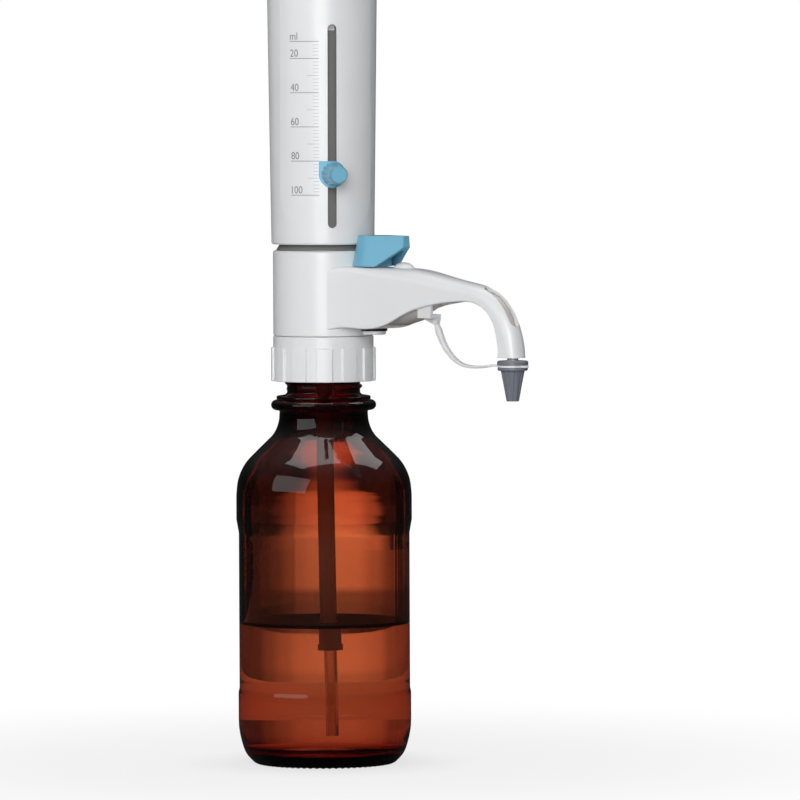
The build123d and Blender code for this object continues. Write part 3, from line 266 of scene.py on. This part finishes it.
def lathe(name, profile, columns, shaped=lambda turn, r, z: (r, z)):
    """A profile of (radius, height) in millimetres, from axis to axis, turned about Z.

    shaped gives each point its own radius and height by its turn.
    """
    vertices, rows = [], []
    for r, z in profile:
        if r == 0:
            rows.append([len(vertices)])
            vertices.append((0, 0, z * MM))
            continue
        rows.append(list(range(len(vertices), len(vertices) + columns)))
        for n in range(columns):
            turn = 2 * pi * n / columns
            rr, zz = shaped(turn, r, z)
            vertices.append((rr * cos(turn) * MM, rr * sin(turn) * MM, zz * MM))
    faces = []
    for low, high in zip(rows, rows[1:]):
        for n in range(columns):
            m = (n + 1) % columns
            if len(low) == 1:
                faces.append((low[0], high[m], high[n]))
            elif len(high) == 1:
                faces.append((low[n], low[m], high[0]))
            else:
                faces.append((low[n], low[m], high[m], high[n]))
    return new_object(name, vertices, faces)


# Shared shader groups


def shader_group(name, inputs, outputs):
    """An empty shader group with its input node and its output node."""
    tree = bpy.data.node_groups.new(name, "ShaderNodeTree")
    for label, kind, value in inputs:
        socket = tree.interface.new_socket(label, in_out="INPUT", socket_type=kind)
        socket.default_value = value
    for label, kind in outputs:
        tree.interface.new_socket(label, in_out="OUTPUT", socket_type=kind)
    return tree, tree.nodes.new("NodeGroupInput"), tree.nodes.new("NodeGroupOutput")


def set_values(node, values):
    """Sets plain values on a node's sockets, which are named with _ for each space."""
    for label, value in values.items():
        node.inputs[label.replace("_", " ")].default_value = value


def add(tree, kind, **values):
    """A node with plain values on its sockets."""
    node = tree.nodes.new(kind)
    set_values(node, values)
    return node


def feed(tree, value, socket):
    """Links a node's output to a socket, or sets the socket to a plain value."""
    if isinstance(value, bpy.types.NodeSocket):
        tree.links.new(value, socket)
    else:
        socket.default_value = value


def math_node(tree, operation, *values):
    """The result of a math node; each value is a number or another node's output."""
    node = tree.nodes.new("ShaderNodeMath")
    node.operation = operation
    for value, socket in zip(values, node.inputs):
        feed(tree, value, socket)
    return node.outputs[0]


def vector_node(tree, operation, vector, other=None, scale=None):
    """The result of a vector operation on a node's output, with a fixed vector or another output as scale."""
    node = tree.nodes.new("ShaderNodeVectorMath")
    node.operation = operation
    tree.links.new(vector, node.inputs[0])
    if other is not None:
        node.inputs[1].default_value = other
    if scale is not None:
        tree.links.new(scale, node.inputs["Scale"])
    return node.outputs["Vector" if operation == "SCALE" else "Value"]


def mixed(tree, share, first, second):
    """Two shaders mixed, by the share of the second."""
    mix = tree.nodes.new("ShaderNodeMixShader")
    for value, socket in zip((share, first, second), mix.inputs):
        tree.links.new(value, socket)
    return mix.outputs[0]


def ramp(tree, value, low, high, stops):
    """A tone that changes smoothly with a value between low and high; stops are (value, tone)."""
    spread = add(tree, "ShaderNodeMapRange", From_Min=low, From_Max=high)
    tree.links.new(value, spread.inputs["Value"])
    tones = tree.nodes.new("ShaderNodeValToRGB")
    tones.color_ramp.interpolation = "EASE"
    elements = tones.color_ramp.elements
    while len(elements) < len(stops):
        elements.new(0.5)
    for element, (at, tone) in zip(elements, stops):
        element.position = (at - low) / (high - low)
        element.color = (tone, tone, tone, 1)
    tree.links.new(spread.outputs[0], tones.inputs["Fac"])
    return tones.outputs["Color"]


def make_moulded_skin():
    """Moulded plastic: a faint cloudiness in the colour and the gloss, and the fine texture of the mould."""
    tree, given, made = shader_group(
        "moulded_skin",
        [("Color", "NodeSocketColor", (0.8, 0.8, 0.8, 1)), ("Cloud", "NodeSocketFloat", 0.03),
         ("Gloss", "NodeSocketFloat", 0.35), ("Grain", "NodeSocketFloat", 900.0)],
        [("Color", "NodeSocketColor"), ("Roughness", "NodeSocketFloat"), ("Height", "NodeSocketFloat")])
    link = tree.links.new
    place = tree.nodes.new("ShaderNodeTexCoord").outputs["Object"]
    cloud = add(tree, "ShaderNodeTexNoise", Scale=CLOUD_SCALE, Detail=3.0)
    link(place, cloud.inputs["Vector"])
    centred = math_node(tree, "SUBTRACT", cloud.outputs["Fac"], 0.5)
    tint = math_node(tree, "ADD", math_node(tree, "MULTIPLY", centred, given.outputs["Cloud"]), 1.0)
    link(vector_node(tree, "SCALE", given.outputs["Color"], scale=tint), made.inputs["Color"])
    rough = math_node(tree, "MULTIPLY_ADD", centred, GLOSS_SPREAD, given.outputs["Gloss"])
    link(rough, made.inputs["Roughness"])
    grain = add(tree, "ShaderNodeTexNoise", Detail=2.0)
    link(place, grain.inputs["Vector"])
    link(given.outputs["Grain"], grain.inputs["Scale"])
    link(grain.outputs["Fac"], made.inputs["Height"])
    return tree


def make_glass_ripple():
    """Blown or pressed glass: a slow waviness and the faint vertical drag of the mould."""
    tree, given, made = shader_group(
        "glass_ripple",
        [("Wave", "NodeSocketFloat", 22.0), ("Drag", "NodeSocketFloat", 0.35)],
        [("Height", "NodeSocketFloat")])
    link = tree.links.new
    place = tree.nodes.new("ShaderNodeTexCoord").outputs["Object"]
    wave = add(tree, "ShaderNodeTexNoise", Detail=1.5)
    link(place, wave.inputs["Vector"])
    link(given.outputs["Wave"], wave.inputs["Scale"])
    flat = tree.nodes.new("ShaderNodeMapping")
    flat.inputs["Scale"].default_value = DRAG_STRETCH
    link(place, flat.inputs["Vector"])
    drag = add(tree, "ShaderNodeTexNoise", Scale=1.0, Detail=1.0)
    link(flat.outputs[0], drag.inputs["Vector"])
    pulled = math_node(tree, "MULTIPLY", drag.outputs["Fac"], given.outputs["Drag"])
    link(math_node(tree, "ADD", wave.outputs["Fac"], pulled), made.inputs["Height"])
    return tree


MOULDED_SKIN = make_moulded_skin()
GLASS_RIPPLE = make_glass_ripple()


def material(name, **sockets):
    """A material with its own Principled shader; constants are set on the shader's sockets."""
    made = bpy.data.materials.new(name)
    made.use_nodes = True
    tree = made.node_tree
    shader = tree.nodes["Principled BSDF"]
    set_values(shader, sockets)
    return made, tree, shader


def grouped(tree, group, **values):
    """A shared group placed in a material with its own values."""
    node = tree.nodes.new("ShaderNodeGroup")
    node.node_tree = group
    set_values(node, values)
    return node


def raised(tree, height, shader, distance):
    """Bumps the surface by a height, to a distance in metres."""
    bump = add(tree, "ShaderNodeBump", Strength=1.0, Distance=distance)
    tree.links.new(height, bump.inputs["Height"])
    tree.links.new(bump.outputs["Normal"], shader.inputs["Normal"])


def moulded(name, color, gloss, cloud=0.04, grain=900.0, depth=0.000004, **sockets):
    """A moulded or machined finish; depth is that of its grain, in metres."""
    made, tree, shader = material(name, **sockets)
    skin = grouped(tree, MOULDED_SKIN, Color=(*color, 1), Cloud=cloud, Gloss=gloss, Grain=grain)
    tree.links.new(skin.outputs["Color"], shader.inputs["Base Color"])
    tree.links.new(skin.outputs["Roughness"], shader.inputs["Roughness"])
    raised(tree, skin.outputs["Height"], shader, depth)
    return made


def see_through(name, color, ior, depth=0.0):
    """Smooth glass, clear plastic or liquid; depth is that of its ripple, in metres."""
    made, tree, shader = material(
        name, Base_Color=(*color, 1), Transmission_Weight=1.0, IOR=ior, Roughness=0.0)
    ripple = grouped(tree, GLASS_RIPPLE)
    raised(tree, ripple.outputs["Height"], shader, depth)
    return made


def amber_glass():
    """Brown glass, tinted at its faces and darker where light goes further through it."""
    made = see_through("amber_glass", (0.92, 0.66, 0.38), 1.52, 0.00005)
    tree = made.node_tree
    absorb = add(tree, "ShaderNodeVolumeAbsorption", Color=(0.70, 0.12, 0.09, 1), Density=330.0)
    tree.links.new(absorb.outputs[0], tree.nodes["Material Output"].inputs["Volume"])
    return made


WHITE = moulded("white_moulding", (0.87, 0.875, 0.885), 0.34, Subsurface_Weight=0.12, Subsurface_Scale=0.0015,
                Subsurface_Radius=(1.0, 0.9, 0.8), Specular_IOR_Level=0.75)
TETHER = moulded("soft_white_strap", (0.80, 0.80, 0.805), 0.42, Subsurface_Weight=0.15,
                 Subsurface_Scale=0.0012)
BLUE = moulded("blue_moulding", (0.17, 0.47, 0.65), 0.34, cloud=0.05)
GUARD = moulded("grey_guard_tube", (0.20, 0.20, 0.19), 0.34, cloud=0.06)
STOP = moulded("pale_stop_tab", (0.62, 0.61, 0.59), 0.40)
CORE = moulded("machined_core", (0.80, 0.80, 0.78), 0.5, cloud=0.05, grain=2400.0)
PISTON = moulded("waxy_piston", (0.88, 0.88, 0.86), 0.45, Subsurface_Weight=0.2, Subsurface_Scale=0.002)
CAP_GREY = moulded("grey_nozzle_cap", (0.175, 0.19, 0.225), 0.36, cloud=0.08)
# Painted shade: the valve's moulding gets a grey that stands for the shade it sits in, under the arm
VALVE_SHADE_GREY = moulded("valve_moulding_painted_shade", (0.42, 0.41, 0.395), 0.42, cloud=0.06)
RUBBER = moulded("black_rubber_disc", (0.012, 0.012, 0.014), 0.6, cloud=0.2, grain=2000.0, depth=0.000008)
CERAMIC = moulded("polished_ceramic", (0.86, 0.84, 0.80), 0.12, cloud=0.02)
INK = moulded("scale_ink", (0.27, 0.28, 0.295), 0.5, cloud=0.2)
PALE_INK = moulded("scale_ink_pale", (0.52, 0.53, 0.54), 0.5, cloud=0.2)
WIRE = moulded("drawn_wire", (0.62, 0.62, 0.63), 0.25, Metallic=1.0)
AMBER = amber_glass()
CLEAR = see_through("clear_cylinder_glass", (0.97, 0.985, 0.98), 1.47, 0.00001)
LIQUID = see_through("clear_liquid", (0.99, 0.99, 0.99), 1.333)
# Painted shade: a dark, unreflecting skin on the liquid's surface that stands for the dark ellipse seen at
# its level
LIQUID_PAINTED_SHADE = moulded("liquid_surface_painted_shade", (0.05, 0.03, 0.02), 0.3, Specular_IOR_Level=0.0)
TUBE = see_through("clear_tube", (0.74, 0.66, 0.60), 1.5)
FILLING_TUBE = moulded("smoky_tube", (0.66, 0.56, 0.50), 0.3, Transmission_Weight=0.4)
OUTLET_TUBE = moulded("milky_tube", (0.80, 0.72, 0.70), 0.22, Transmission_Weight=0.2,
                      Subsurface_Weight=0.3, Subsurface_Scale=0.003)

FINISHES = {
    "white_plastic": WHITE, "blue_plastic": BLUE, "guard_grey": GUARD, "stop_white": STOP,
    "core_plastic": CORE, "piston_white": PISTON, "seal": PISTON, "cap_grey": CAP_GREY,
    "valve_grey": VALVE_SHADE_GREY, "black_rubber": RUBBER, "valve_ceramic": CERAMIC, "spring_wire": WIRE,
    "amber_glass": AMBER, "clear_glass": CLEAR, "clear_tube": TUBE, "tether_white": TETHER,
}
NODE_FINISHES = {"filling_tube": FILLING_TUBE, "discharge_tube": OUTLET_TUBE}


def dress(piece, finish):
    """Gives a piece one finish all over."""
    piece.data.materials.clear()
    piece.data.materials.append(finish)
    return piece


def dress_nodes():
    """Each node of the frame gets the finish of its material slot, or its own."""
    for row in frame["record"]["subparts"]:
        dress(frame["nodes"][row["node"]], NODE_FINISHES.get(row["node"], FINISHES[row["material_slot"]]))


# Bottle


def arc(centre, radius, start, end, steps):
    """Points on a circle, by angles in degrees."""
    return [(centre[0] + radius * cos(radians(a)), centre[1] + radius * sin(radians(a)))
            for a in np.linspace(start, end, steps)]


def bottle_outside():
    """From the middle of the base up to the mouth's inner edge."""
    base = [(0, 3.5), (10, 3.35), (19.75, 2.8), (28, 1.8), (34, 0.6)]
    heel = [(39.4, 0.0), (41.4, 1.0), (46.0, 6.2), (48.6, 13.6), (49.9, 20.5), (BOTTLE_R, HEEL_Z)]
    shoulder = [(SHOULDER_R, SHOULDER_Z), (50.9, 157.0), (50.1, 164.0), (48.1, 170.0), (44.8, 175.5),
                (39.2, 181.4), (32.9, 187.6), (29.4, 191.2), (27.3, 195.0), (26.0, 199.4), (25.6, 204.0)]
    return [
        *smooth_run(base, BASE_STEPS), (36.3, 0.05), (37.0, 0.0), (37.8, 0.0), (38.6, 0.0),
        *smooth_run(heel, CURVE_STEPS),
        (BOTTLE_R, 34.0), (BOTTLE_R, 41.2), (BOTTLE_R - 0.12, 42.0), (LABEL_R + 0.1, 43.6), (LABEL_R, 44.4),
        *[(LABEL_R, z) for z in np.linspace(52, 128, LABEL_ROWS)],
        (LABEL_R, 133.6), (LABEL_R + 0.1, 134.6), (SHOULDER_R - 0.12, 141.2), (SHOULDER_R, 142.2),
        (SHOULDER_R, 148.0), *smooth_run(shoulder, CURVE_STEPS),
        (25.75, 204.9), *arc((27.6, 208.3), 2.9, -110, 110, RING_STEPS),
        (26.2, 211.2), (26.9, 211.4), (27.3, 211.9),
        (27.3, 213.0), (26.9, 213.5), (24.5, 213.9), (22.4, 214.2), (NECK_ROOT_R, 215.4),
        *[(NECK_ROOT_R, z) for z in np.arange(216.0, 241.2, THREAD_ROW)],
        (NECK_ROOT_R, 242.0), (NECK_ROOT_R - 0.3, 242.7), (NECK_ROOT_R - 1.0, MOUTH_Z),
        (NECK_BORE_R + 0.9, MOUTH_Z), (NECK_BORE_R + 0.2, 242.7), (NECK_BORE_R, 242.0),
    ]


def bottle_inside():
    """From the mouth down to the middle of the base."""
    neck = [(NECK_BORE_R, 205.0), (15.9, 201.6), (17.6, 198.2), (23.0, 192.0), (30.0, 185.2), (36.0, 179.2),
            (41.6, 172.6), (45.2, 166.5), (47.2, 160.0), (SHOULDER_R - GLASS_WALL, SHOULDER_Z)]
    heel = [(BOTTLE_R - GLASS_WALL, HEEL_Z), (46.6, 20.0), (44.8, 14.2), (41.6, 10.2), (36.0, 7.9),
            (28.0, 8.2), (18.0, 9.6), (9.0, 10.7), (0, 11.0)]
    return [
        (NECK_BORE_R, 230.0), *smooth_run(neck, CURVE_STEPS), (SHOULDER_R - GLASS_WALL, 140.0),
        *[(BOTTLE_R - GLASS_WALL, z) for z in np.linspace(132, 40, WALL_ROWS)],
        *smooth_run(heel, CURVE_STEPS),
    ]


def bottle_relief(turn, r, z):
    """The screw thread, the knurls of the contact ring and the two seams of the mould."""
    if r >= NECK_ROOT_R and THREAD_LOW_Z <= z <= THREAD_HIGH_Z:
        wound = (turn - THREAD_STARTS) % (2 * pi) / (2 * pi)
        risen = (z - THREAD_LOW_Z) / THREAD_PITCH - wound
        phase = risen % 1.0
        run_in = min(1.0, max(0.0, risen + THREAD_RUN_IN))
        run_out = min(1.0, max(0.0, (THREAD_HIGH_Z - z) / THREAD_RUN_OUT))
        crest = max(0.0, cos(2 * pi * (phase - 0.5)) + THREAD_FULLNESS) / (1 + THREAD_FULLNESS)
        return r + THREAD_CREST * sqrt(crest) * run_in * run_out, z
    if KNURL_INNER_R < r < KNURL_OUTER_R and z < KNURL_TOP_Z:
        bump = 0.5 - 0.5 * cos(KNURLS * turn)
        return r, z + KNURL_DEPTH * bump**KNURL_ROUNDNESS
    if r > SEAM_INNER_R and KNURL_TOP_Z < z < SEAM_TOP_Z:
        seam = max(0.0, 1 - abs(sin(turn - SEAM_TURN)) * SEAM_SHARPNESS)
        return r + SEAM_HEIGHT * (seam - 1), z
    return r, z


def make_bottle():
    """The bottle as one closed shell of glass, outside and inside."""
    glass = lathe("amber_bottle", bottle_outside() + bottle_inside(), KNURLS * KNURL_COLUMNS, bottle_relief)
    dress(glass, AMBER)
    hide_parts("bottle")
    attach(glass, "bottle")


def make_liquid():
    """The liquid overlaps the glass by a hair, so that light passes from one to the other as it should.

    A dark skin on its surface is painted shade: it stands for the dark ellipse that shows there.
    """
    wall = BOTTLE_R - GLASS_WALL
    inside = [(r + LIQUID_GRIP if r > 0 else 0, z - LIQUID_GRIP)
              for r, z in reversed(bottle_inside()) if z < LIQUID_Z]
    edge = [(wall + LIQUID_GRIP, LIQUID_Z - LIQUID_LINE), (wall + LIQUID_GRIP, LIQUID_Z + MENISCUS)]
    curve = [(wall - away, LIQUID_Z + share * MENISCUS) for away, share in MENISCUS_CURVE]
    level = [(wall / 2, LIQUID_Z), (0, LIQUID_Z)]
    liquid = dress(lathe("liquid", inside + edge + curve + level, LIQUID_COLUMNS), LIQUID)
    liquid.data.materials.append(LIQUID_PAINTED_SHADE)
    # The faces at the liquid's level take the painted shade
    for face in liquid.data.polygons:
        if face.center.z > (LIQUID_Z - LIQUID_LINE) * MM:
            face.material_index = 1
    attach(liquid, "bottle")


# Scale on the sleeve


def panel_point(angle, z, lift):
    """A point in metres on the sleeve's flattened front, by an angle round the axis and a height in mm.

    The front is a wider arc than the cone: PANEL_DEPTH behind it in the middle, level with it at its edges.
    """
    edge = cos(PANEL_HALF_ANGLE)
    back = PANEL_DEPTH / (1 - edge)
    cone = SLEEVE_LOW_R + SLEEVE_SLOPE * (z - SLEEVE_LOW_Z) + back - PANEL_DEPTH
    off = angle - PANEL_ANGLE
    r = sqrt(cone**2 - (back * sin(off)) ** 2) - back * cos(off) + lift
    return (r * cos(angle) * MM, r * sin(angle) * MM, z * MM)


def scale_line(left, right, z, thick, steps=10):
    """A printed line as a thin closed strip: its outer face and the edges that meet the sleeve."""
    vertices, faces = [], []
    for n in range(steps + 1):
        angle = left + (right - left) * n / steps
        for lift, dz in ((0, -0.5), (INK_LIFT + INK_THICK, -0.5), (INK_LIFT + INK_THICK, 0.5), (0, 0.5)):
            vertices.append(panel_point(angle, z + dz * thick, lift))
    for n in range(steps):
        a, b = 4 * n, 4 * (n + 1)
        faces += [(a + k, b + k, b + (k + 1) % 4, a + (k + 1) % 4) for k in range(4)]
    faces += [(0, 1, 2, 3), (4 * steps + 3, 4 * steps + 2, 4 * steps + 1, 4 * steps)]
    return vertices, faces


def make_scale_lines():
    """Long lines at the figures, and paler ones between them."""
    strips = {"scale_lines": [], "scale_ticks": []}
    for ml in range(SCALE_FROM, SCALE_TO + 1, SCALE_STEP):
        if ml % FIGURE_STEP == 0 or ml == SCALE_FROM:
            name, span, thick = "scale_lines", LONG_LINE, LINE_THICK
        elif ml % MIDDLE_STEP == 0:
            name, span, thick = "scale_ticks", MIDDLE_LINE, TICK_THICK
        else:
            name, span, thick = "scale_ticks", SHORT_LINE, TICK_THICK
        strips[name].append(scale_line(SCALE_RIGHT - span, SCALE_RIGHT, ZERO_Z - ml * ML, thick))
    for name, ink in (("scale_lines", INK), ("scale_ticks", PALE_INK)):
        vertices, faces = [], []
        for strip, sides in strips[name]:
            faces += [tuple(i + len(vertices) for i in side) for side in sides]
            vertices += strip
        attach(dress(new_object(name, vertices, faces, smooth=False), ink), "piston")


def print_figure(name, text, left, baseline):
    """Figures set as type, then laid on the sleeve's front."""
    curve = bpy.data.curves.new(name, "FONT")
    curve.body = text
    curve.size = 1.0
    curve.extrude = TYPE_DEPTH
    typed = bpy.data.objects.new(name + "_typed", curve)
    bpy.context.scene.collection.objects.link(typed)
    bpy.context.view_layer.update()
    mesh = bpy.data.meshes.new_from_object(typed.evaluated_get(bpy.context.evaluated_depsgraph_get()))
    bpy.data.objects.remove(typed)
    co = np.array([v.co for v in mesh.vertices], float)
    low, high = co.min(0), co.max(0)
    scale = DIGIT_HEIGHT / (high[1] - low[1])
    around = SLEEVE_LOW_R + SLEEVE_SLOPE * (baseline - SLEEVE_LOW_Z)
    for vertex, (x, y, z) in zip(mesh.vertices, co):
        angle = left + (x - low[0]) * scale * DIGIT_WIDE / around
        lift = INK_LIFT + INK_THICK if z > 0 else 0
        vertex.co = panel_point(angle, baseline + (y - low[1]) * scale, lift)
    piece = bpy.data.objects.new(name, mesh)
    bpy.context.scene.collection.objects.link(piece)
    dress(piece, INK)
    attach(piece, "piston")


def make_scale():
    """The lines, the unit above the first one and a figure above each long one below it."""
    make_scale_lines()
    left = SCALE_RIGHT - LONG_LINE + DIGIT_INSET
    print_figure("scale_unit", "ml", left, ZERO_Z - SCALE_FROM * ML + DIGIT_RISE)
    for ml in range(FIGURE_STEP, SCALE_TO + 1, FIGURE_STEP):
        print_figure(f"scale_{ml}", str(ml), left, ZERO_Z - ml * ML + DIGIT_RISE)


# Tether


def make_strap():
    """The curved strip of the tether, from its root under the arm to the ring on the cap."""
    route = smooth_run(STRAP_ROUTE, STRAP_STEPS)
    at = np.linspace(0, 1, len(route))
    knots = np.linspace(0, 1, len(STRAP_ROUTE))
    half_thick = np.interp(at, knots, STRAP_HALF_THICK)
    vertices = []
    for n, (x, z) in enumerate(route):
        ahead = np.array(route[min(n + 1, len(route) - 1)]) - np.array(route[max(n - 1, 0)])
        ahead /= np.linalg.norm(ahead)
        for k in range(STRAP_SIDES):
            a = 2 * pi * (k + 0.5) / STRAP_SIDES
            c, s = cos(a), sin(a)
            out = half_thick[n] * np.sign(c) * abs(c) ** STRAP_ROUNDNESS
            y = STRAP_Y_HALF * np.sign(s) * abs(s) ** STRAP_ROUNDNESS
            vertices.append(((x - ahead[1] * out) * MM, y * MM, (z + ahead[0] * out) * MM))
    faces = tube_faces(len(route), STRAP_SIDES)
    strap = dress(new_object("tether_band", vertices, faces), TETHER)
    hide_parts("tether_strap")
    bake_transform(strap)


# Outlet spring


def make_spring():
    """The coil between the ball and the valve's end."""
    low, high = (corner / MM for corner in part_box("discharge_spring"))
    coil_r = (high.z - low.z) / 2 - SPRING_WIRE_R
    long = high.x - low.x - 2 * SPRING_WIRE_R
    middle = (low + high) / 2
    steps = SPRING_TURNS * SPRING_RINGS_A_TURN
    vertices = []
    for n in range(steps + 1):
        wound = 2 * pi * SPRING_TURNS * n / steps
        x = low.x + SPRING_WIRE_R + long * n / steps
        for k in range(SPRING_SIDES):
            a = 2 * pi * k / SPRING_SIDES
            r = coil_r + SPRING_WIRE_R * cos(a)
            vertices.append(((x + SPRING_WIRE_R * sin(a)) * MM, (middle.y + r * cos(wound)) * MM,
                             (middle.z + r * sin(wound)) * MM))
    faces = tube_faces(steps + 1, SPRING_SIDES)
    spring = dress(new_object("outlet_spring", vertices, faces), WIRE)
    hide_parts("discharge_spring")
    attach(spring, "head")
    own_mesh(spring)


# Studio


def from_axis(right, towards, up):
    """A place in the studio by metres to the right, towards the camera and up."""
    return RIGHT * right + TOWARDS * towards + Vector((0, 0, up))


def soft_box(name, place, aim_z, size, power):
    """A white lamp aimed at a height on the axis, unseen by the camera and through glass."""
    lamp = bpy.data.lights.new(name, "AREA")
    lamp.shape = "RECTANGLE"
    lamp.size, lamp.size_y = size
    lamp.energy = power
    box = bpy.data.objects.new(name, lamp)
    box.location = from_axis(*place)
    box.rotation_mode = "QUATERNION"
    box.rotation_quaternion = (Vector((0, 0, aim_z)) - box.location).to_track_quat("-Z", "Y")
    box.visible_camera = False
    box.visible_transmission = False
    bpy.context.scene.collection.objects.link(box)
    return box


def make_world():
    """Light that grows softly from the camera's side to the back, and other tones for some kinds of rays.

    The camera sees white, glass lets a dim grey through, and mirrors see only a glow from above.
    """
    world = bpy.data.worlds.new("studio")
    bpy.context.scene.world = world
    world.use_nodes = True
    tree = world.node_tree
    tree.nodes.clear()
    link = tree.links.new
    direction = tree.nodes.new("ShaderNodeTexCoord").outputs["Generated"]
    light = add(tree, "ShaderNodeMapRange", From_Min=WORLD_FRONT, From_Max=WORLD_BACK,
                To_Min=WORLD_FRONT_LIGHT, To_Max=WORLD_BACK_LIGHT)
    light.interpolation_type = "SMOOTHSTEP"
    link(vector_node(tree, "DOT_PRODUCT", direction, other=-TOWARDS), light.inputs["Value"])
    parts = tree.nodes.new("ShaderNodeSeparateXYZ")
    link(direction, parts.inputs[0])
    overhead = ramp(tree, parts.outputs["Z"], -1, 1, WORLD_IN_MIRRORS)
    around = add(tree, "ShaderNodeBackground", Color=WHITE_LIGHT)
    feed(tree, light.outputs[0], around.inputs["Strength"])
    path = tree.nodes.new("ShaderNodeLightPath")
    made = around.outputs[0]
    for ray, strength in (("Is Glossy Ray", overhead), ("Is Camera Ray", 1.0),
                          ("Is Transmission Ray", WORLD_THROUGH_GLASS)):
        plain = add(tree, "ShaderNodeBackground", Color=WHITE_LIGHT)
        feed(tree, strength, plain.inputs["Strength"])
        made = mixed(tree, path.outputs[ray], made, plain.outputs[0])
    out = tree.nodes.new("ShaderNodeOutputWorld")
    link(made, out.inputs["Surface"])


def only_for(piece, *rays):
    """Lets only some kinds of rays see a piece of the studio."""
    for ray in ("camera", "diffuse", "glossy", "transmission", "volume_scatter", "shadow"):
        setattr(piece, "visible_" + ray, ray in rays)


def make_floor():
    """A grey floor that takes the object's shadow, and for the camera glows white further from the axis."""
    corners = [(x * FLOOR_HALF, y * FLOOR_HALF, 0) for x, y in ((-1, -1), (1, -1), (1, 1), (-1, 1))]
    floor = new_object("floor", corners, [(0, 1, 2, 3)], smooth=False)
    made, tree, shader = material("pale_floor", Roughness=0.7, Specular_IOR_Level=0.0)
    link = tree.links.new
    glow = add(tree, "ShaderNodeEmission", Color=WHITE_LIGHT, Strength=1.0)
    path = tree.nodes.new("ShaderNodeLightPath")
    through = math_node(tree, "MULTIPLY", path.outputs["Is Transmission Ray"], FLOOR_THROUGH_GLASS)
    seen = math_node(tree, "MAXIMUM", path.outputs["Is Camera Ray"], through)
    place = tree.nodes.new("ShaderNodeNewGeometry").outputs["Position"]
    share = ramp(tree, vector_node(tree, "LENGTH", place), 0, FLOOR_GLOW_FAR, FLOOR_GLOW)
    tone = add(tree, "ShaderNodeMapRange", To_Min=FLOOR_TONE, To_Max=FLOOR_TONE_IN_MIRRORS)
    link(path.outputs["Is Glossy Ray"], tone.inputs["Value"])
    link(tone.outputs[0], shader.inputs["Base Color"])
    made_of = mixed(tree, math_node(tree, "MULTIPLY", seen, share), shader.outputs[0], glow.outputs[0])
    link(made_of, tree.nodes["Material Output"].inputs["Surface"])
    dress(floor, made)


def make_back_light():
    """A lit card behind the bottle, shaded across and up, that only shows through glass."""
    outline = ((BACK_LIGHT_LEFT, BACK_LIGHT_LOW_Z), (BACK_LIGHT_RIGHT, BACK_LIGHT_LOW_Z),
               (BACK_LIGHT_RIGHT, BACK_LIGHT_HIGH_Z), (BACK_LIGHT_LEFT, BACK_LIGHT_HIGH_Z))
    corners = [from_axis(u, -BACK_LIGHT_FAR, z) for u, z in outline]
    card = new_object("back_light", corners, [(0, 1, 2, 3)], smooth=False)
    made, tree, _ = material("shaded_card")
    link = tree.links.new
    place = tree.nodes.new("ShaderNodeNewGeometry").outputs["Position"]
    u = vector_node(tree, "DOT_PRODUCT", place, other=RIGHT)
    parts = tree.nodes.new("ShaderNodeSeparateXYZ")
    link(place, parts.inputs[0])
    z = parts.outputs["Z"]
    sag = math_node(tree, "MULTIPLY", math_node(tree, "MULTIPLY", u, u), TONE_SAG)
    sag = math_node(tree, "MULTIPLY", sag, math_node(tree, "GREATER_THAN", z, TONE_SAG_FROM_Z))
    up = ramp(tree, math_node(tree, "ADD", z, sag), 0, TONE_UP_TOP, TONE_UP)
    across = tree.nodes.new("ShaderNodeMix")
    across.data_type = "FLOAT"
    link(math_node(tree, "LESS_THAN", z, TONE_IN_LIQUID_Z), across.inputs["Factor"])
    link(ramp(tree, u, -TONE_ACROSS_HALF, TONE_ACROSS_HALF, TONE_ACROSS), across.inputs["A"])
    link(ramp(tree, u, -TONE_IN_LIQUID_HALF, TONE_IN_LIQUID_HALF, TONE_IN_LIQUID), across.inputs["B"])
    tone = math_node(tree, "MULTIPLY", math_node(tree, "MULTIPLY", across.outputs[0], up), BACK_LIGHT_BRIGHT)
    glow = add(tree, "ShaderNodeEmission", Color=WHITE_LIGHT)
    link(tone, glow.inputs["Strength"])
    link(glow.outputs[0], tree.nodes["Material Output"].inputs["Surface"])
    dress(card, made)
    only_for(card, "transmission")


def make_lights():
    """A strip near the camera that leaves out the glass, a wide box on the left, and two windows overhead.

    The windows are seen only in glossy surfaces.
    """
    strip = soft_box("strip_box", STRIP_PLACE, STRIP_AIM_Z, STRIP_SIZE, STRIP_POWER)
    left_out = bpy.data.collections.new("glass_and_liquid")
    strip.light_linking.receiver_collection = left_out
    for name in ("amber_bottle", "liquid"):
        left_out.objects.link(bpy.data.objects[name])
        left_out.collection_objects[-1].light_linking.link_state = "EXCLUDE"
    soft_box("left_box", LEFT_PLACE, LEFT_AIM_Z, LEFT_SIZE, LEFT_POWER)
    for name, place in WINDOW_PLACES.items():
        window = soft_box(name, place, WINDOW_AIM_Z, WINDOW_SIZE, WINDOW_POWER)
        window.visible_diffuse = False


def make_camera():
    """A long lens that shows a field of a given width at the bottle."""
    lens = bpy.data.cameras.new("camera")
    lens.sensor_width = SENSOR
    camera = bpy.data.objects.new("camera", lens)
    target = RIGHT * FIELD_SIDE + Vector((0, 0, FIELD_MIDDLE_HEIGHT))
    camera.location = RIGHT * FIELD_SIDE + TOWARDS * CAMERA_FAR + Vector((0, 0, CAMERA_HEIGHT))
    look = target - camera.location
    lens.lens = SENSOR * look.length / FIELD_WIDTH
    lens.clip_end = CAMERA_CLIP
    camera.rotation_mode = "QUATERNION"
    camera.rotation_quaternion = look.to_track_quat("-Z", "Y") @ Quaternion((0, 0, 1), CAMERA_ROLL)
    bpy.context.scene.collection.objects.link(camera)
    bpy.context.scene.camera = camera


bpy.context.scene.view_settings.view_transform = "Standard"
make_camera()
make_world()
make_floor()
make_back_light()
dress_nodes()
make_bottle()
make_liquid()
make_lights()
make_scale()
make_strap()
make_spring()
